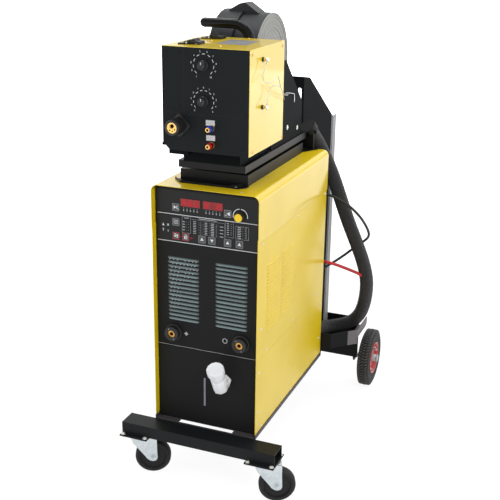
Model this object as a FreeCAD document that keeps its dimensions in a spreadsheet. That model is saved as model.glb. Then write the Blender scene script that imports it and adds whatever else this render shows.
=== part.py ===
import FreeCAD, Part
import math
import os
import re

import Sketcher

# Wire-feed arc welder on a wheeled cart, millimetres, +X right, +Y back, +Z up.
# Sizes and places along Y are counted from the front lip of the case; the frame's
# origin lies on the floor, lip_setback behind that lip, in the middle of the cart.

SIZES = {
    # case
    "lip_setback": 492, "body_width": 376, "body_depth": 716, "base_z": 200, "cooler_height": 280,
    "source_height": 566, "sheet": 1.5, "plate": 3, "corner_radius": 22, "front_recess": 25,
    "seam_gap": 0.3, "cover_skirt": 153, "skirt_lap": 12, "tray_upstand": 15, "post": 12,
    "slot_width": 200, "slot_depth": 22,
    # front cross channel and casters
    "channel_depth": 70, "channel_height": 42, "caster_plate": 104,
    "caster_plate_thick": 5, "caster_inset": 50, "caster_radius": 62.5, "caster_width": 36,
    "caster_trail": 45.6, "caster_turn": 24.6, "caster_bolt": 4, "caster_bolt_reach": 42,
    "fork_top_z": 147, "fork_wall": 3, "fork_half": 20, "kingpin": 8, "running_fit": 0.05,
    "caster_axle": 5,
    # rear axle, wheels and cylinder shelf
    "wheel_radius": 119, "tyre_width": 50, "axle_radius": 10, "rim_radius": 66, "hub_radius": 20,
    "hub_length": 62, "shelf_z": 240, "shelf_wall": 60, "ledge_z": 264, "rest_radius": 80,
    "rest_height": 1.5, "apron_low": 117, "ear_x": 268,
    # cylinder column
    "column_half": 68, "wing_length": 144.2,
    "wing_angle": 56.3, "lip_length": 41, "chain_slot_x": 51, "chain_slot_width": 14,
    # fronts
    "panel": 2, "louvre_width": 110, "louvre_x": 86, "louvre_pitch": 14.4, "louvre_count": 16,
    "louvre_proud": 2.5, "louvre_lip": 8, "vent_slot": 3.2, "side_louvre_length": 126,
    "side_louvre_pitch": 12, "side_louvre_count": 20, "side_louvre_first": 86,
    "side_louvre_second": 226, "membrane": 0.8, "key": 26, "key_proud": 0.4, "window_width": 69,
    "window_height": 26, "window_left_x": -58.5, "window_right_x": 20.5, "window_proud": 1.5,
    "encoder_x": 115, "encoder_radius": 17, "encoder_length": 21, "socket_x": 123,
    "socket_collar": 27, "socket_insert": 13, "socket_bore": 6.5, "socket_reach": 25,
    "sight_x": -11, "sight_width": 8, "filler_x": 65, "filler_radius": 19, "filler_corner_y": -17,
    "filler_lean": 28, "filler_rise": 66, "filler_body": 25.5, "filler_cap_radius": 30,
    "filler_cap_height": 26,
    # platform and swivel
    "pivot_y": 370, "pivot_radius": 15, "platform_half": 110, "platform_front": 98,
    "platform_height": 37, "platform_lip": 40, "platform_left": -128, "turntable_radius": 60, "tray_half": 112,
    "tray_front": 70, "tray_left": -121,
    # feeder
    "feeder_half": 146, "feeder_front": 13, "feeder_rear": 312, "door_top_width": 70,
    "door_gap": 0.6, "plinth_half": 98, "chamfer_low": 20, "bracket_x": 104, "drive_plate_x": -60,
    "wire_x": -88, "roll_radius": 18.5, "roll_width": 12, "roll_y": 150, "dial_x": -6,
    "knob_radius": 17, "knob_length": 22, "shaft": 3, "gun_reach": 58, "gun_collar": 25.6,
    "gun_core": 17, "gun_bore": 6.4, "gun_flange": 52, "coupling_x": 22, "coupling_body": 6,
    "coupling_sleeve": 10.5, "coupling_reach": 35, "coupling_bore": 4.2, "sleeve_travel": 3,
    "latch_left": -94, "latch_length": 50, "latch_width": 40, "latch_front_y": 68,
    "latch_rear_y": 236, "latch_pin": 2.5, "hinge_pin": 2, "handle_radius": 16, "handle_bend": 66,
    "handle_leg_x": 20, "handle_end_x": -163,
    # spool
    "cover_radius": 165, "cover_wall": 2, "cover_right": 30,
    "cover_seam": -60, "cover_left": -141, "lid_radius": 173, "gable": 54, "gable_depth": 66, "hub_spindle": 25.45, "stand_x": 36,
    "spool_radius": 150, "spool_core": 110, "spool_left": -122, "spool_width": 102,
    # rear of the case
    "fan_x": -108, "fan_radius": 52, "fan_hub": 18, "fan_shaft": 4, "switch_x": -120,
    "switch_radius": 22, "port_x": 150, "port_radius": 14, "port_reach": 18, "elbow_reach": 22,
    "elbow_off": 11, "gland_x": 148, "gland_z": 288, "gland_radius": 32, "sleeve_width": 54,
    "cable_width": 10, "hose_width": 12, "lanyard_width": 2, "plug_y": 116,
}

# Sizes and places that follow from others, each with its own clearance or rise.
PLACES = {
    "source_foot": "base_z + cooler_height", "source_top": "source_foot + source_height",
    "axle_y": "body_depth + 236", "cheek_front_y": "body_depth + 84",
    "cheek_rear_y": "axle_y - 1", "shelf_rear_y": "axle_y - 20", "rest_y": "body_depth + 130",
    "column_y": "body_depth + 44", "column_top": "tray_top + 185",
    "wing_low_top": "tray_top + 26", "chain_slot_low": "tray_top + 86",
    "chain_slot_high": "tray_top + 143", "shelf_half": "body_width / 2 + 97",
    "cheek_half": "body_width / 2 + 125", "flare_x": "body_width / 2 + 40",
    "wheel_x": "body_width / 2 + 142", "channel_width": "body_width + 190",
    "membrane_width": "body_width - 20", "membrane_low": "source_top - 193",
    "membrane_high": "source_top - 16", "window_z": "source_top - 55",
    "encoder_z": "source_top - 78", "louvre_low": "source_foot + 97",
    "side_louvre_low": "source_foot + 82", "socket_z": "source_foot + 51",
    "filler_z": "source_foot - 95", "sight_low": "base_z + 72",
    "sight_high": "source_foot - 101", "platform_rear": "body_depth - 76",
    "tray_low": "source_top + 49", "tray_top": "tray_low + 24", "tray_rear": "body_depth - 44",
    "feeder_low": "tray_top + 44", "feeder_top": "feeder_low + 324",
    "door_hinge_z": "feeder_low + 17", "gun_z": "feeder_low + 82", "wire_z": "gun_z + 5.5",
    "feed_dial_z": "feeder_low + 271", "volt_dial_z": "feeder_low + 161",
    "coupling_high_z": "feeder_low + 81", "coupling_low_z": "feeder_low + 28",
    "plug_high_z": "feeder_low + 286", "plug_low_z": "feeder_low + 139",
    "handle_z": "feeder_top + 42", "handle_y": "feeder_rear + 23", "spool_y": "feeder_rear + 193",
    "spool_z": "tray_top + 271", "bracket_rear": "spool_y + 120",
    "bracket_notch_z": "tray_top + 119", "bracket_top_y": "spool_y - 60",
    "bracket_top_z": "tray_top + 286", "fan_z": "source_foot + 280",
    "switch_z": "source_top - 116", "control_high_z": "source_top - 174",
    "control_low_z": "source_foot + 60", "return_z": "source_foot + 120",
}

doc = FreeCAD.newDocument("WelderOnCart")
sheet = doc.addObject("Spreadsheet::Sheet", "Sizes")
KNOWN = {**SIZES, **PLACES}
for row, alias in enumerate(KNOWN, start=1):
    sheet.set(f"A{row}", alias)
    sheet.setAlias(f"B{row}", alias)
for row, value in enumerate(KNOWN.values(), start=1):
    sheet.set(f"B{row}", f"={value}" if isinstance(value, str) else str(value))
doc.recompute()

X, Y, Z = FreeCAD.Vector(1, 0, 0), FreeCAD.Vector(0, 1, 0), FreeCAD.Vector(0, 0, 1)
TURN = {
    "x": FreeCAD.Rotation(Y, 90),
    "y": FreeCAD.Rotation(X, -90),
    "z": FreeCAD.Rotation(),
}
subparts = []


def size(alias):
    """Number of one cell of the sheet, for shapes that are set directly."""
    return float(sheet.get(alias))


def formula(text):
    """Spell out each size name in a formula as a cell of the sheet."""
    known = lambda found: "Sizes." + found.group() if found.group() in KNOWN else found.group()
    return re.sub(r"[a-z]\w*", known, str(text))


def put(thing, x, y, z):
    """Bind a place; y is counted from the front lip."""
    for letter, text in (("x", x), ("y", f"({y}) - lip_setback"), ("z", z)):
        thing.setExpression(f".Placement.Base.{letter}", formula(text))
    return thing


def shift(thing, x, y, z):
    """Bind a place inside a local group, with no setback."""
    for letter, text in (("x", x), ("y", y), ("z", z)):
        thing.setExpression(f".Placement.Base.{letter}", formula(text))
    return thing


def block(x0, x1, y0, y1, z0, z1, local=False):
    """Box between two corners."""
    box = doc.addObject("Part::Box", "Block")
    box.setExpression("Length", formula(f"({x1}) - ({x0})"))
    box.setExpression("Width", formula(f"({y1}) - ({y0})"))
    box.setExpression("Height", formula(f"({z1}) - ({z0})"))
    return (shift if local else put)(box, x0, y0, z0)


def rod(radius, start, end, a, b, along, local=False):
    """Cylinder along an axis from start to end; a and b are the other two coordinates."""
    bar = doc.addObject("Part::Cylinder", "Rod")
    bar.setExpression("Radius", formula(radius))
    bar.setExpression("Height", formula(f"({end}) - ({start})"))
    bar.Placement = FreeCAD.Placement(FreeCAD.Vector(), TURN[along])
    place = {"x": (start, a, b), "y": (a, start, b), "z": (a, b, start)}[along]
    return (shift if local else put)(bar, *place)


def ball(radius, x, y, z):
    """Sphere."""
    lump = doc.addObject("Part::Sphere", "Ball")
    lump.setExpression("Radius", formula(radius))
    return put(lump, x, y, z)


def hexagon(radius, start, end, a, b, along, local=False):
    """Six-sided nut or bolt head along an axis."""
    nut = doc.addObject("Part::Prism", "Hexagon")
    nut.Polygon = 6
    nut.setExpression("Circumradius", formula(radius))
    nut.setExpression("Height", formula(f"({end}) - ({start})"))
    nut.Placement = FreeCAD.Placement(FreeCAD.Vector(), TURN[along])
    place = {"x": (start, a, b), "y": (a, start, b), "z": (a, b, start)}[along]
    return (shift if local else put)(nut, *place)


def join(*pieces):
    """Pieces welded or moulded into one."""
    if len(pieces) == 1:
        return pieces[0]
    whole = doc.addObject("Part::MultiFuse", "Joined")
    whole.Shapes = list(pieces)
    whole.Refine = True
    return whole


def cut(base, *tools):
    """Base with the tools taken out."""
    rest = doc.addObject("Part::Cut", "Cut")
    rest.Base = base
    rest.Tool = join(*tools)
    return rest


def together(*pieces):
    """Separate solids that share one node."""
    pack = doc.addObject("Part::Compound", "Group")
    pack.Links = list(pieces)
    return pack


def name(label, thing):
    """Make an object a sub-part of the welder."""
    thing.Label = label
    subparts.append(thing)
    return thing


def number(text):
    """Present value of a formula, to start a sketch from."""
    probe.setExpression("Number", formula(text))
    probe.recompute()
    return probe.Number


probe = doc.addObject("App::FeaturePython", "Probe")
probe.addProperty("App::PropertyFloat", "Number")


def sketch_on(body, plane, points):
    """Closed outline whose corners are bound to formulas."""
    origin = next(item for item in body.Origin.OriginFeatures if item.Role == plane)
    sketch = body.newObject("Sketcher::SketchObject", "Outline")
    sketch.AttachmentSupport = [(origin, "")]
    sketch.MapMode = "FlatFace"
    corners = [FreeCAD.Vector(number(u), number(v), 0) for u, v in points]
    count = len(corners)
    for i in range(count):
        sketch.addGeometry(Part.LineSegment(corners[i], corners[(i + 1) % count]))
    for i in range(count):
        sketch.addConstraint(Sketcher.Constraint("Coincident", i, 2, (i + 1) % count, 1))
    for i, (u, v) in enumerate(points):
        for kind, text, start in (("DistanceX", u, corners[i].x), ("DistanceY", v, corners[i].y)):
            index = sketch.addConstraint(Sketcher.Constraint(kind, -1, 1, i, 1, start))
            sketch.setExpression(f"Constraints[{index}]", formula(text))
    return sketch


def plate(plane, points, thickness):
    """Flat outline padded along +Z, +Y or +X."""
    body = doc.addObject("PartDesign::Body", "Plate")
    pad = body.newObject("PartDesign::Pad", "Pad")
    pad.Profile = sketch_on(body, plane, points)
    pad.setExpression("Length", formula(thickness))
    pad.Reversed = plane == "XZ_Plane"
    body.Tip = pad
    return body


def turned(axis, points):
    """Outline turned about an axis: (radius, place) points, or (place, radius) about x."""
    body = doc.addObject("PartDesign::Body", "Turned")
    plane, line = {"x": ("XZ_Plane", "H_Axis"), "y": ("XY_Plane", "V_Axis"), "z": ("XZ_Plane", "V_Axis")}[axis]
    sketch = sketch_on(body, plane, points)
    spin = body.newObject("PartDesign::Revolution", "Revolution")
    spin.Profile = sketch
    spin.ReferenceAxis = (sketch, [line])
    spin.Angle = 360
    body.Tip = spin
    return body


def arch(half, y0, y1, z0, z1, radius):
    """Upright slab centred on the cart with its two top corners rounded."""
    return join(
        block(f"-({half})", half, y0, y1, z0, f"({z1}) - ({radius})"),
        block(f"-({half}) + ({radius})", f"({half}) - ({radius})", y0, y1, z0, z1),
        *[rod(radius, y0, y1, f"{side} * (({half}) - ({radius}))", f"({z1}) - ({radius})", "y")
          for side in (-1, 1)],
    )


SEAM_Z = "(base_z + cooler_height)"
TOP_Z = "(base_z + cooler_height + source_height)"
HALF = "(body_width / 2)"
SKIN = "(body_width / 2 - sheet - seam_gap)"
INNER = "(body_width / 2 - 2 * sheet - seam_gap)"
SKIRT_Z = "(base_z + cooler_height + source_height - cover_skirt)"
PANEL_Y = "front_recess"
BACK_Y = "(body_depth - plate)"


def base_tray():
    """Folded base under the case, slotted at its front edge."""
    floor = block(f"-{HALF}", HALF, 0, "body_depth", "base_z", "base_z + plate")
    sides = [block(f"{side} * {HALF} - plate * {(side + 1) // 2}", f"{side} * {HALF} + plate * {(1 - side) // 2}",
                   0, "body_depth", "base_z", "base_z + tray_upstand") for side in (-1, 1)]
    apron = block(f"8 - {HALF}", f"{HALF} - 8", 0, "plate", "base_z - channel_height", "base_z + plate")
    slot = block("-slot_width / 2", "slot_width / 2", "plate", "plate + slot_depth", "base_z - 1", "base_z + plate + 1")
    name("base_tray", cut(join(floor, apron, *sides), slot))


def chassis_frame():
    """Corner posts and the floor between cooler and power source."""
    posts = []
    for side in (-1, 1):
        for y in (f"{PANEL_Y} + panel", f"{BACK_Y} - post"):
            near, far = (INNER, f"{INNER} - post") if side > 0 else (f"{INNER} - post", INNER)
            x0, x1 = (f"({far})", f"({near})") if side > 0 else (f"-({far})", f"-({near})")
            posts.append(block(x0 if side > 0 else f"-({INNER})", x1 if side > 0 else f"-({INNER}) + post",
                               y, f"{y} + post", "base_z + plate", f"{TOP_Z} - corner_radius - 10"))
    deck = block(f"-({INNER})", INNER, f"{PANEL_Y} + panel", BACK_Y, f"{SEAM_Z} - 2", SEAM_Z)
    rails = [block(f"-({INNER})", INNER, y, f"{y} + post", f"{TOP_Z} - corner_radius - 10 - post",
                   f"{TOP_Z} - corner_radius - 10") for y in (f"{PANEL_Y} + panel", f"{BACK_Y} - post")]
    name("chassis_frame", join(deck, *posts, *rails))


def front_channel():
    """Cross member of folded sheet under the front edge, its ends open, and the caster plates."""
    half = "channel_width / 2"
    low = "base_z - channel_height"
    name("front_channel", together(join(
        block(f"-{half}", half, "-channel_depth", 0, "base_z - plate", "base_z"),
        block(f"-{half}", half, "-channel_depth", "plate - channel_depth", low, "base_z"),
        block(f"-{half}", half, "-plate", 0, low, "base_z"),
    ), *caster_mounts()))


CASTER_X = "(channel_width / 2 - caster_inset)"
CASTER_Y = "(-channel_depth / 2)"
PLATE_Z = "(base_z - channel_height - caster_plate_thick)"


def caster_mounts():
    """Black top plate, race and kingpin of each front caster."""
    mounts = []
    for side in (-1, 1):
        x = f"{side} * {CASTER_X}"
        flat = block(f"{x} - caster_plate / 2", f"{x} + caster_plate / 2", f"{CASTER_Y} - caster_plate / 2",
                     f"{CASTER_Y} + caster_plate / 2", PLATE_Z, f"{PLATE_Z} + caster_plate_thick")
        race = rod(30, "fork_top_z + seam_gap", PLATE_Z, x, CASTER_Y, "z")
        kingpin = rod("kingpin", "fork_top_z - 9", PLATE_Z, x, CASTER_Y, "z")
        holes = [rod("caster_bolt + 0.2", f"{PLATE_Z} - 1", f"{PLATE_Z} + caster_plate_thick + 1",
                     f"{x} + {a} * caster_bolt_reach", f"{CASTER_Y} + {b} * caster_bolt_reach", "z")
                 for a in (-1, 1) for b in (-1, 1)]
        mounts.append(cut(join(flat, race, kingpin), *holes))
    return mounts


def caster_bolts():
    """Hexagon bolts through the caster plates, with their nuts."""
    bolts = []
    for side in (-1, 1):
        for a in (-1, 1):
            for b in (-1, 1):
                x = f"{side} * {CASTER_X} + {a} * caster_bolt_reach"
                y = f"{CASTER_Y} + {b} * caster_bolt_reach"
                top = f"{PLATE_Z} + caster_plate_thick"
                bolts.append(join(hexagon("caster_bolt * 1.8", top, f"{top} + 5", x, y, "z"),
                                  rod("caster_bolt", f"{PLATE_Z} - 5.5", f"{top} + 1", x, y, "z"),
                                  hexagon("caster_bolt * 1.8", f"{PLATE_Z} - 5", PLATE_Z, x, y, "z")))
    return bolts


def casters():
    """Swivelling zinc forks and their rubber wheels, turned as the cart was left."""
    for side, word in ((-1, "left"), (1, "right")):
        outline = [("-28", "fork_top_z - 2"), ("caster_trail + 13", "fork_top_z - 2"),
                   ("caster_trail + 15", "caster_radius + 8"), ("caster_trail + 10", "caster_radius - 11"),
                   ("caster_trail - 9", "caster_radius - 12"), ("caster_trail - 24", "caster_radius + 2"),
                   ("-22", "fork_top_z - 26"), ("-28", "fork_top_z - 12")]
        legs = []
        for leg in (-1, 1):
            wall = plate("XZ_Plane", outline, "fork_wall")
            shift(wall, 0, "fork_half" if leg > 0 else "-fork_half - fork_wall", 0)
            legs.append(wall)
        crown = block("-30", "caster_trail + 13.5", "-fork_half - fork_wall", "fork_half + fork_wall",
                      "fork_top_z - 4", "fork_top_z", True)
        axle = rod("caster_axle", "-fork_half - fork_wall - 4", "fork_half + fork_wall + 4", "caster_trail",
                   "caster_radius", "y", True)
        nuts = [hexagon("caster_axle * 1.8", f"{end} * (fork_half + fork_wall) - {3 if end < 0 else 0}",
                        f"{end} * (fork_half + fork_wall) + {3 if end > 0 else 0}", "caster_trail", "caster_radius",
                        "y", True) for end in (-1, 1)]
        bore = rod("kingpin + running_fit", "fork_top_z - 20", "fork_top_z + 1", 0, 0, "z", True)
        fork = cut(join(crown, axle, *legs, *nuts), bore)
        wheel = turned("y", [
            ("caster_axle + running_fit", "-caster_width / 2 - 1"), ("15", "-caster_width / 2 - 1"),
            ("16", "-caster_width / 2 + 6"), ("44", "-caster_width / 2 + 6"), ("46", "-caster_width / 2"),
            ("caster_radius - 7", "-caster_width / 2"), ("caster_radius", "-caster_width / 2 + 9"),
            ("caster_radius", "caster_width / 2 - 9"), ("caster_radius - 7", "caster_width / 2"),
            ("46", "caster_width / 2"), ("44", "caster_width / 2 - 6"), ("16", "caster_width / 2 - 6"),
            ("15", "caster_width / 2 + 1"), ("caster_axle + running_fit", "caster_width / 2 + 1")])
        turn = FreeCAD.Rotation(Z, size("caster_turn"))
        fork.Placement = FreeCAD.Placement(FreeCAD.Vector(), turn)
        put(fork, f"{side} * {CASTER_X}", CASTER_Y, 0)
        wheel.Placement = FreeCAD.Placement(FreeCAD.Vector(), turn)
        put(wheel, f"{side} * {CASTER_X} + caster_trail * cos(caster_turn)",
            f"{CASTER_Y} + caster_trail * sin(caster_turn)", "caster_radius")
        name(f"caster_{word}_fork", fork)
        name(f"caster_{word}_wheel", wheel)


def rear_wheels():
    """Pneumatic tyres on pressed rims with a long hub."""
    w = "tyre_width / 2"
    for side, word in ((-1, "left"), (1, "right")):
        tyre = turned("x", [
            (f"4 - {w}", "rim_radius"), (f"3 - {w}", "rim_radius + 9"), (f"-{w}", "wheel_radius * 0.78"),
            (f"2 - {w}", "wheel_radius * 0.9"), (f"9 - {w}", "wheel_radius * 0.97"), ("-7", "wheel_radius"),
            ("7", "wheel_radius"), (f"{w} - 9", "wheel_radius * 0.97"), (f"{w} - 2", "wheel_radius * 0.9"),
            (w, "wheel_radius * 0.78"), (f"{w} - 3", "rim_radius + 9"), (f"{w} - 4", "rim_radius")])
        h = "hub_length / 2"
        bore = "axle_radius + running_fit"
        rim = turned("x", [
            (f"-{h}", bore), (f"-{h}", "hub_radius"), ("4", "hub_radius"), ("4", "rim_radius - 8"),
            (f"2 - {w}", "rim_radius - 6"), (f"1 - {w}", "rim_radius"), (f"{w} - 1", "rim_radius"),
            (f"{w} - 2", "rim_radius - 6"), ("8", "rim_radius - 8"), ("8", "hub_radius"), (h, "hub_radius"),
            (h, bore)])
        facing = FreeCAD.Rotation(Z, 0 if side > 0 else 180)
        for thing in (tyre, rim):
            thing.Placement = FreeCAD.Placement(FreeCAD.Vector(), facing)
            put(thing, f"{side} * wheel_x", "axle_y", "wheel_radius")
        name(f"rear_{word}_tyre", tyre)
        name(f"rear_{word}_rim", rim)


def rear_axle():
    """Solid axle with a collar each side of every hub."""
    parts = [rod("axle_radius", "-wheel_x - hub_length / 2 - 8", "wheel_x + hub_length / 2 + 8", "axle_y",
                 "wheel_radius", "x")]
    for side in (-1, 1):
        inner = "(wheel_x - hub_length / 2 - 6.3)"
        outer = "(wheel_x + hub_length / 2 + 0.3)"
        for place in (inner, outer):
            start = place if side > 0 else f"-{place} - 6"
            parts.append(rod("axle_radius + 6", start, f"{start} + 6", "axle_y", "wheel_radius", "x"))
    name("rear_axle", join(*parts))


def rear_shelf():
    """Folded shelf for the gas cylinder, with a deep apron and ears that hold the axle."""
    floor_z, top = "shelf_z", "(shelf_z + shelf_wall)"
    plan = [("-flare_x", "body_depth"), ("flare_x", "body_depth"), ("shelf_half", "cheek_front_y - 20"),
            ("shelf_half", "shelf_rear_y"), ("-shelf_half", "shelf_rear_y"), ("-shelf_half", "cheek_front_y - 20")]
    floor = put(plate("XY_Plane", plan, "plate"), 0, 0, floor_z)
    web = block(f"-{HALF}", HALF, "body_depth", "body_depth + plate", "base_z", top)
    sill = block("-flare_x", "flare_x", "body_depth", "body_depth + plate", "shelf_z", top)
    apron = block("-shelf_half", "shelf_half", "shelf_rear_y - plate", "shelf_rear_y", "apron_low", top)
    pieces = [floor, web, sill, apron]
    for side in (-1, 1):
        flare = [(f"{side} * flare_x", "body_depth"), (f"{side} * cheek_half", "cheek_front_y"),
                 (f"{side} * cheek_half", "cheek_front_y + plate * 1.3"),
                 (f"{side} * flare_x", "body_depth + plate * 1.3")]
        pieces.append(put(plate("XY_Plane", flare, "shelf_wall"), 0, 0, "shelf_z"))
        near, far = ("shelf_half - plate", "cheek_half") if side > 0 else ("-cheek_half", "plate - shelf_half")
        pieces.append(block(near, far, "cheek_front_y", "shelf_rear_y", "ledge_z", "ledge_z + plate"))
        x0 = "shelf_half - plate" if side > 0 else "-shelf_half"
        pieces.append(block(x0, f"{x0} + plate", "cheek_front_y - 20", "shelf_rear_y", floor_z, "ledge_z + plate"))
        cheek = [("cheek_front_y", "ledge_z"), ("cheek_rear_y - 22", "ledge_z"), ("cheek_rear_y - 6", "ledge_z + 6"),
                 ("cheek_rear_y", "ledge_z + 20"), ("cheek_rear_y", top), ("cheek_front_y", top)]
        x0 = "cheek_half - plate" if side > 0 else "-cheek_half"
        pieces.append(put(plate("YZ_Plane", cheek, "plate"), x0, 0, 0))
        ear = [("shelf_rear_y - 1", "apron_low"), ("axle_y - 12", "wheel_radius - 22"),
               ("axle_y + 12", "wheel_radius - 22"), ("axle_y + 22", "wheel_radius - 10"),
               ("axle_y + 22", "wheel_radius + 14"), ("shelf_rear_y - 1", "wheel_radius + 60")]
        for x in ("ear_x", "ear_x - 180"):
            pieces.append(put(plate("YZ_Plane", ear, "plate * 2"), f"{side} * ({x}) - plate", 0, 0))
    hole = rod("axle_radius + running_fit", "-shelf_half - 5", "shelf_half + 5", "axle_y", "wheel_radius", "x")
    notch = rod("gland_radius + 0.3", "body_depth - 1", "body_depth + plate + 1", "gland_x", "gland_z", "y")
    pad = rod("rest_radius", "shelf_z + plate - 1", "shelf_z + plate + rest_height", 0, "rest_y", "z")
    name("rear_shelf", join(cut(join(*pieces), hole, notch), pad))


def rear_column():
    """Splayed column that the gas cylinder leans in, tied to the back of the case."""
    foot = "shelf_z + plate"
    web = block("-column_half", "column_half", "column_y", "column_y + plate", foot, "column_top")
    slots = []
    for side in (-1, 1):
        x = f"{side} * chain_slot_x"
        slots.append(join(
            block(f"{x} - chain_slot_width / 2", f"{x} + chain_slot_width / 2", "column_y - 1", "column_y + plate + 1",
                  "chain_slot_low + chain_slot_width / 2", "chain_slot_high - chain_slot_width / 2"),
            rod("chain_slot_width / 2", "column_y - 1", "column_y + plate + 1", x,
                "chain_slot_low + chain_slot_width / 2", "y"),
            rod("chain_slot_width / 2", "column_y - 1", "column_y + plate + 1", x,
                "chain_slot_high - chain_slot_width / 2", "y")))
    pieces = [web]
    for side in (-1, 1):
        outline = [("0", foot), (f"{side} * wing_length", foot), (f"{side} * wing_length", "wing_low_top"),
                   (f"{side} * wing_length * 0.19", "column_top - 4"), ("0", "column_top")]
        wing = plate("XZ_Plane", outline, "plate")
        wing.Placement = FreeCAD.Placement(FreeCAD.Vector(), FreeCAD.Rotation(Z, side * size("wing_angle")))
        put(wing, f"{side} * column_half", "column_y", 0)
        pieces.append(wing)
        x = f"{side} * (column_half + wing_length * cos(wing_angle))"
        y = "column_y + wing_length * sin(wing_angle)"
        pieces.append(block(f"{x} - plate / 2 + {side}", f"{x} + plate / 2 + {side}", f"{y} - 1", f"{y} + lip_length",
                            foot, "wing_low_top"))
    for z in ("source_foot + 80", "source_top - 86"):
        pieces.append(block("-30", "30", "body_depth", "column_y + 1", z, f"{z} + 40"))
    name("rear_column", cut(join(*pieces), *slots))


def cooler():
    """Water cooler in the lower case: front, sides, tank, filler and pump."""
    front = block(f"-({INNER})", INNER, PANEL_Y, f"{PANEL_Y} + panel", "base_z + plate", f"{SEAM_Z} - seam_gap")
    sight = block("sight_x - sight_width / 2", "sight_x + sight_width / 2", f"{PANEL_Y} - 1", f"{PANEL_Y} + panel + 1",
                  "sight_low", "sight_high")
    hole = rod("filler_radius + 0.3", f"{PANEL_Y} - 1", f"{PANEL_Y} + panel + 1", "filler_x", "filler_z", "y")
    name("cooler_front", cut(front, sight, hole))
    sides = []
    for side in (-1, 1):
        x0 = f"{SKIN} - sheet" if side > 0 else f"-({SKIN})"
        sides.append(block(x0, f"{x0} + sheet", 0, f"{BACK_Y}", "base_z + tray_upstand + seam_gap", f"{SEAM_Z} - seam_gap"))
    name("cooler_sides", together(*sides))
    tank_front = f"{PANEL_Y} + panel + 5"
    name("coolant_tank", join(
        block("-120", "150", tank_front, "270", "base_z + plate", f"{SEAM_Z} - 30"),
        block("sight_x - sight_width / 2 - 3", "sight_x + sight_width / 2 + 3", f"{PANEL_Y} + panel", tank_front,
              "sight_low - 5", "sight_high + 5"),
        block("-70", "70", "269", "420", "base_z + plate", "base_z + 70"),
        rod(42, "300", "480", 0, "base_z + 90", "y")))
    neck = rod("filler_radius", "filler_corner_y", tank_front, "filler_x", "filler_z", "y")
    leg = rod("filler_body - 0.5", "filler_corner_y", PANEL_Y, "filler_x", "filler_z", "y")
    riser = leaning(turned("z", [("0", "-24"), ("filler_body - 8", "-24"), ("filler_body", "-16"),
                                 ("filler_body", "filler_rise - 0.4"), ("filler_radius + 3", "filler_rise - 0.4"),
                                 ("filler_radius + 3", "filler_rise + 10"), ("0", "filler_rise + 10")]), "0")
    name("filler_elbow", join(neck, leg, riser))
    name("filler_cap", leaning(turned("z", [
        ("0", "filler_cap_height"), ("filler_cap_radius - 3", "filler_cap_height"),
        ("filler_cap_radius", "filler_cap_height - 3"), ("filler_cap_radius", "0"),
        ("filler_radius + 3 + running_fit", "0"), ("filler_radius + 3 + running_fit", "11"), ("0", "11")]),
        "filler_rise"))


def leaning(thing, along):
    """Stand a piece on the filler's axis, which leans forward from the corner of its elbow."""
    thing.Placement = FreeCAD.Placement(FreeCAD.Vector(), FreeCAD.Rotation(X, size("filler_lean")))
    thing.setExpression(".Placement.Rotation.Angle", formula("filler_lean * 1 deg"))
    return put(thing, "filler_x", f"filler_corner_y - ({along}) * sin(filler_lean * 1 deg)",
               f"filler_z + ({along}) * cos(filler_lean * 1 deg)")


def louvre_rows(x0, x1, y0, y1, low, pitch, count, lip, slot_y0, slot_y1, slot_x0, slot_x1):
    """Pressed hoods and the slots under them, one above the other."""
    hoods, slots = [], []
    for i in range(count):
        z = f"{low} + {i} * {pitch}"
        hoods.append(block(x0, x1, y0, y1, z, f"{z} + {lip}"))
        slots.append(block(slot_x0, slot_x1, slot_y0, slot_y1, f"{z} - vent_slot", z))
    return hoods, slots


def source_front():
    """Black front of the power source with two louvred fields."""
    front = arch(INNER, PANEL_Y, f"{PANEL_Y} + panel", f"{SEAM_Z} + seam_gap", f"{TOP_Z} - sheet - seam_gap",
                 "corner_radius - sheet - seam_gap")
    hoods, slots = [], []
    for side in (-1, 1):
        x0, x1 = f"{side} * louvre_x - louvre_width / 2", f"{side} * louvre_x + louvre_width / 2"
        more = louvre_rows(x0, x1, f"{PANEL_Y} - louvre_proud", PANEL_Y, "louvre_low", "louvre_pitch",
                           SIZES["louvre_count"], "louvre_lip", f"{PANEL_Y} - louvre_proud - 1",
                           f"{PANEL_Y} + panel + 1", f"{x0} + 3", f"{x1} - 3")
        hoods += more[0]
        slots += more[1]
    shaft = rod("shaft", f"{PANEL_Y} - encoder_length + 4", PANEL_Y, "encoder_x", "encoder_z", "y")
    holes = [rod("socket_insert + 0.5", f"{PANEL_Y} - 1", f"{PANEL_Y} + panel + 1", f"{side} * socket_x", "socket_z", "y")
             for side in (-1, 1)]
    name("source_front", cut(join(front, shaft, *hoods), *slots, *holes))
    sides = []
    for side in (-1, 1):
        x0 = f"{SKIN} - sheet" if side > 0 else f"-({SKIN})"
        sheet_side = block(x0, f"{x0} + sheet", 0, BACK_Y, f"{SEAM_Z} + seam_gap", f"{SKIRT_Z} + skirt_lap")
        h0, h1 = (f"({x0}) + sheet", f"({x0}) + sheet + louvre_proud") if side > 0 else (
            f"({x0}) - louvre_proud", f"({x0})")
        hoods, slots = [], []
        for first in ("side_louvre_first", "side_louvre_second"):
            more = louvre_rows(h0, h1, first, f"{first} + side_louvre_length", "side_louvre_low",
                               "side_louvre_pitch", SIZES["side_louvre_count"], "louvre_lip * 0.6",
                               f"{first} + 3", f"{first} + side_louvre_length - 3", f"({x0}) - 4", f"({x0}) + sheet + 4")
            hoods += more[0]
            slots += more[1]
        sides.append(cut(join(sheet_side, *hoods), *slots))
    name("source_sides", together(*sides))
    name("top_cover", cut(arch(HALF, 0, "body_depth", SKIRT_Z, TOP_Z, "corner_radius"),
                          arch(f"{HALF} - sheet", -5, "body_depth + 5", f"{SKIRT_Z} - 5", f"{TOP_Z} - sheet",
                               "corner_radius - sheet")))


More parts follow.
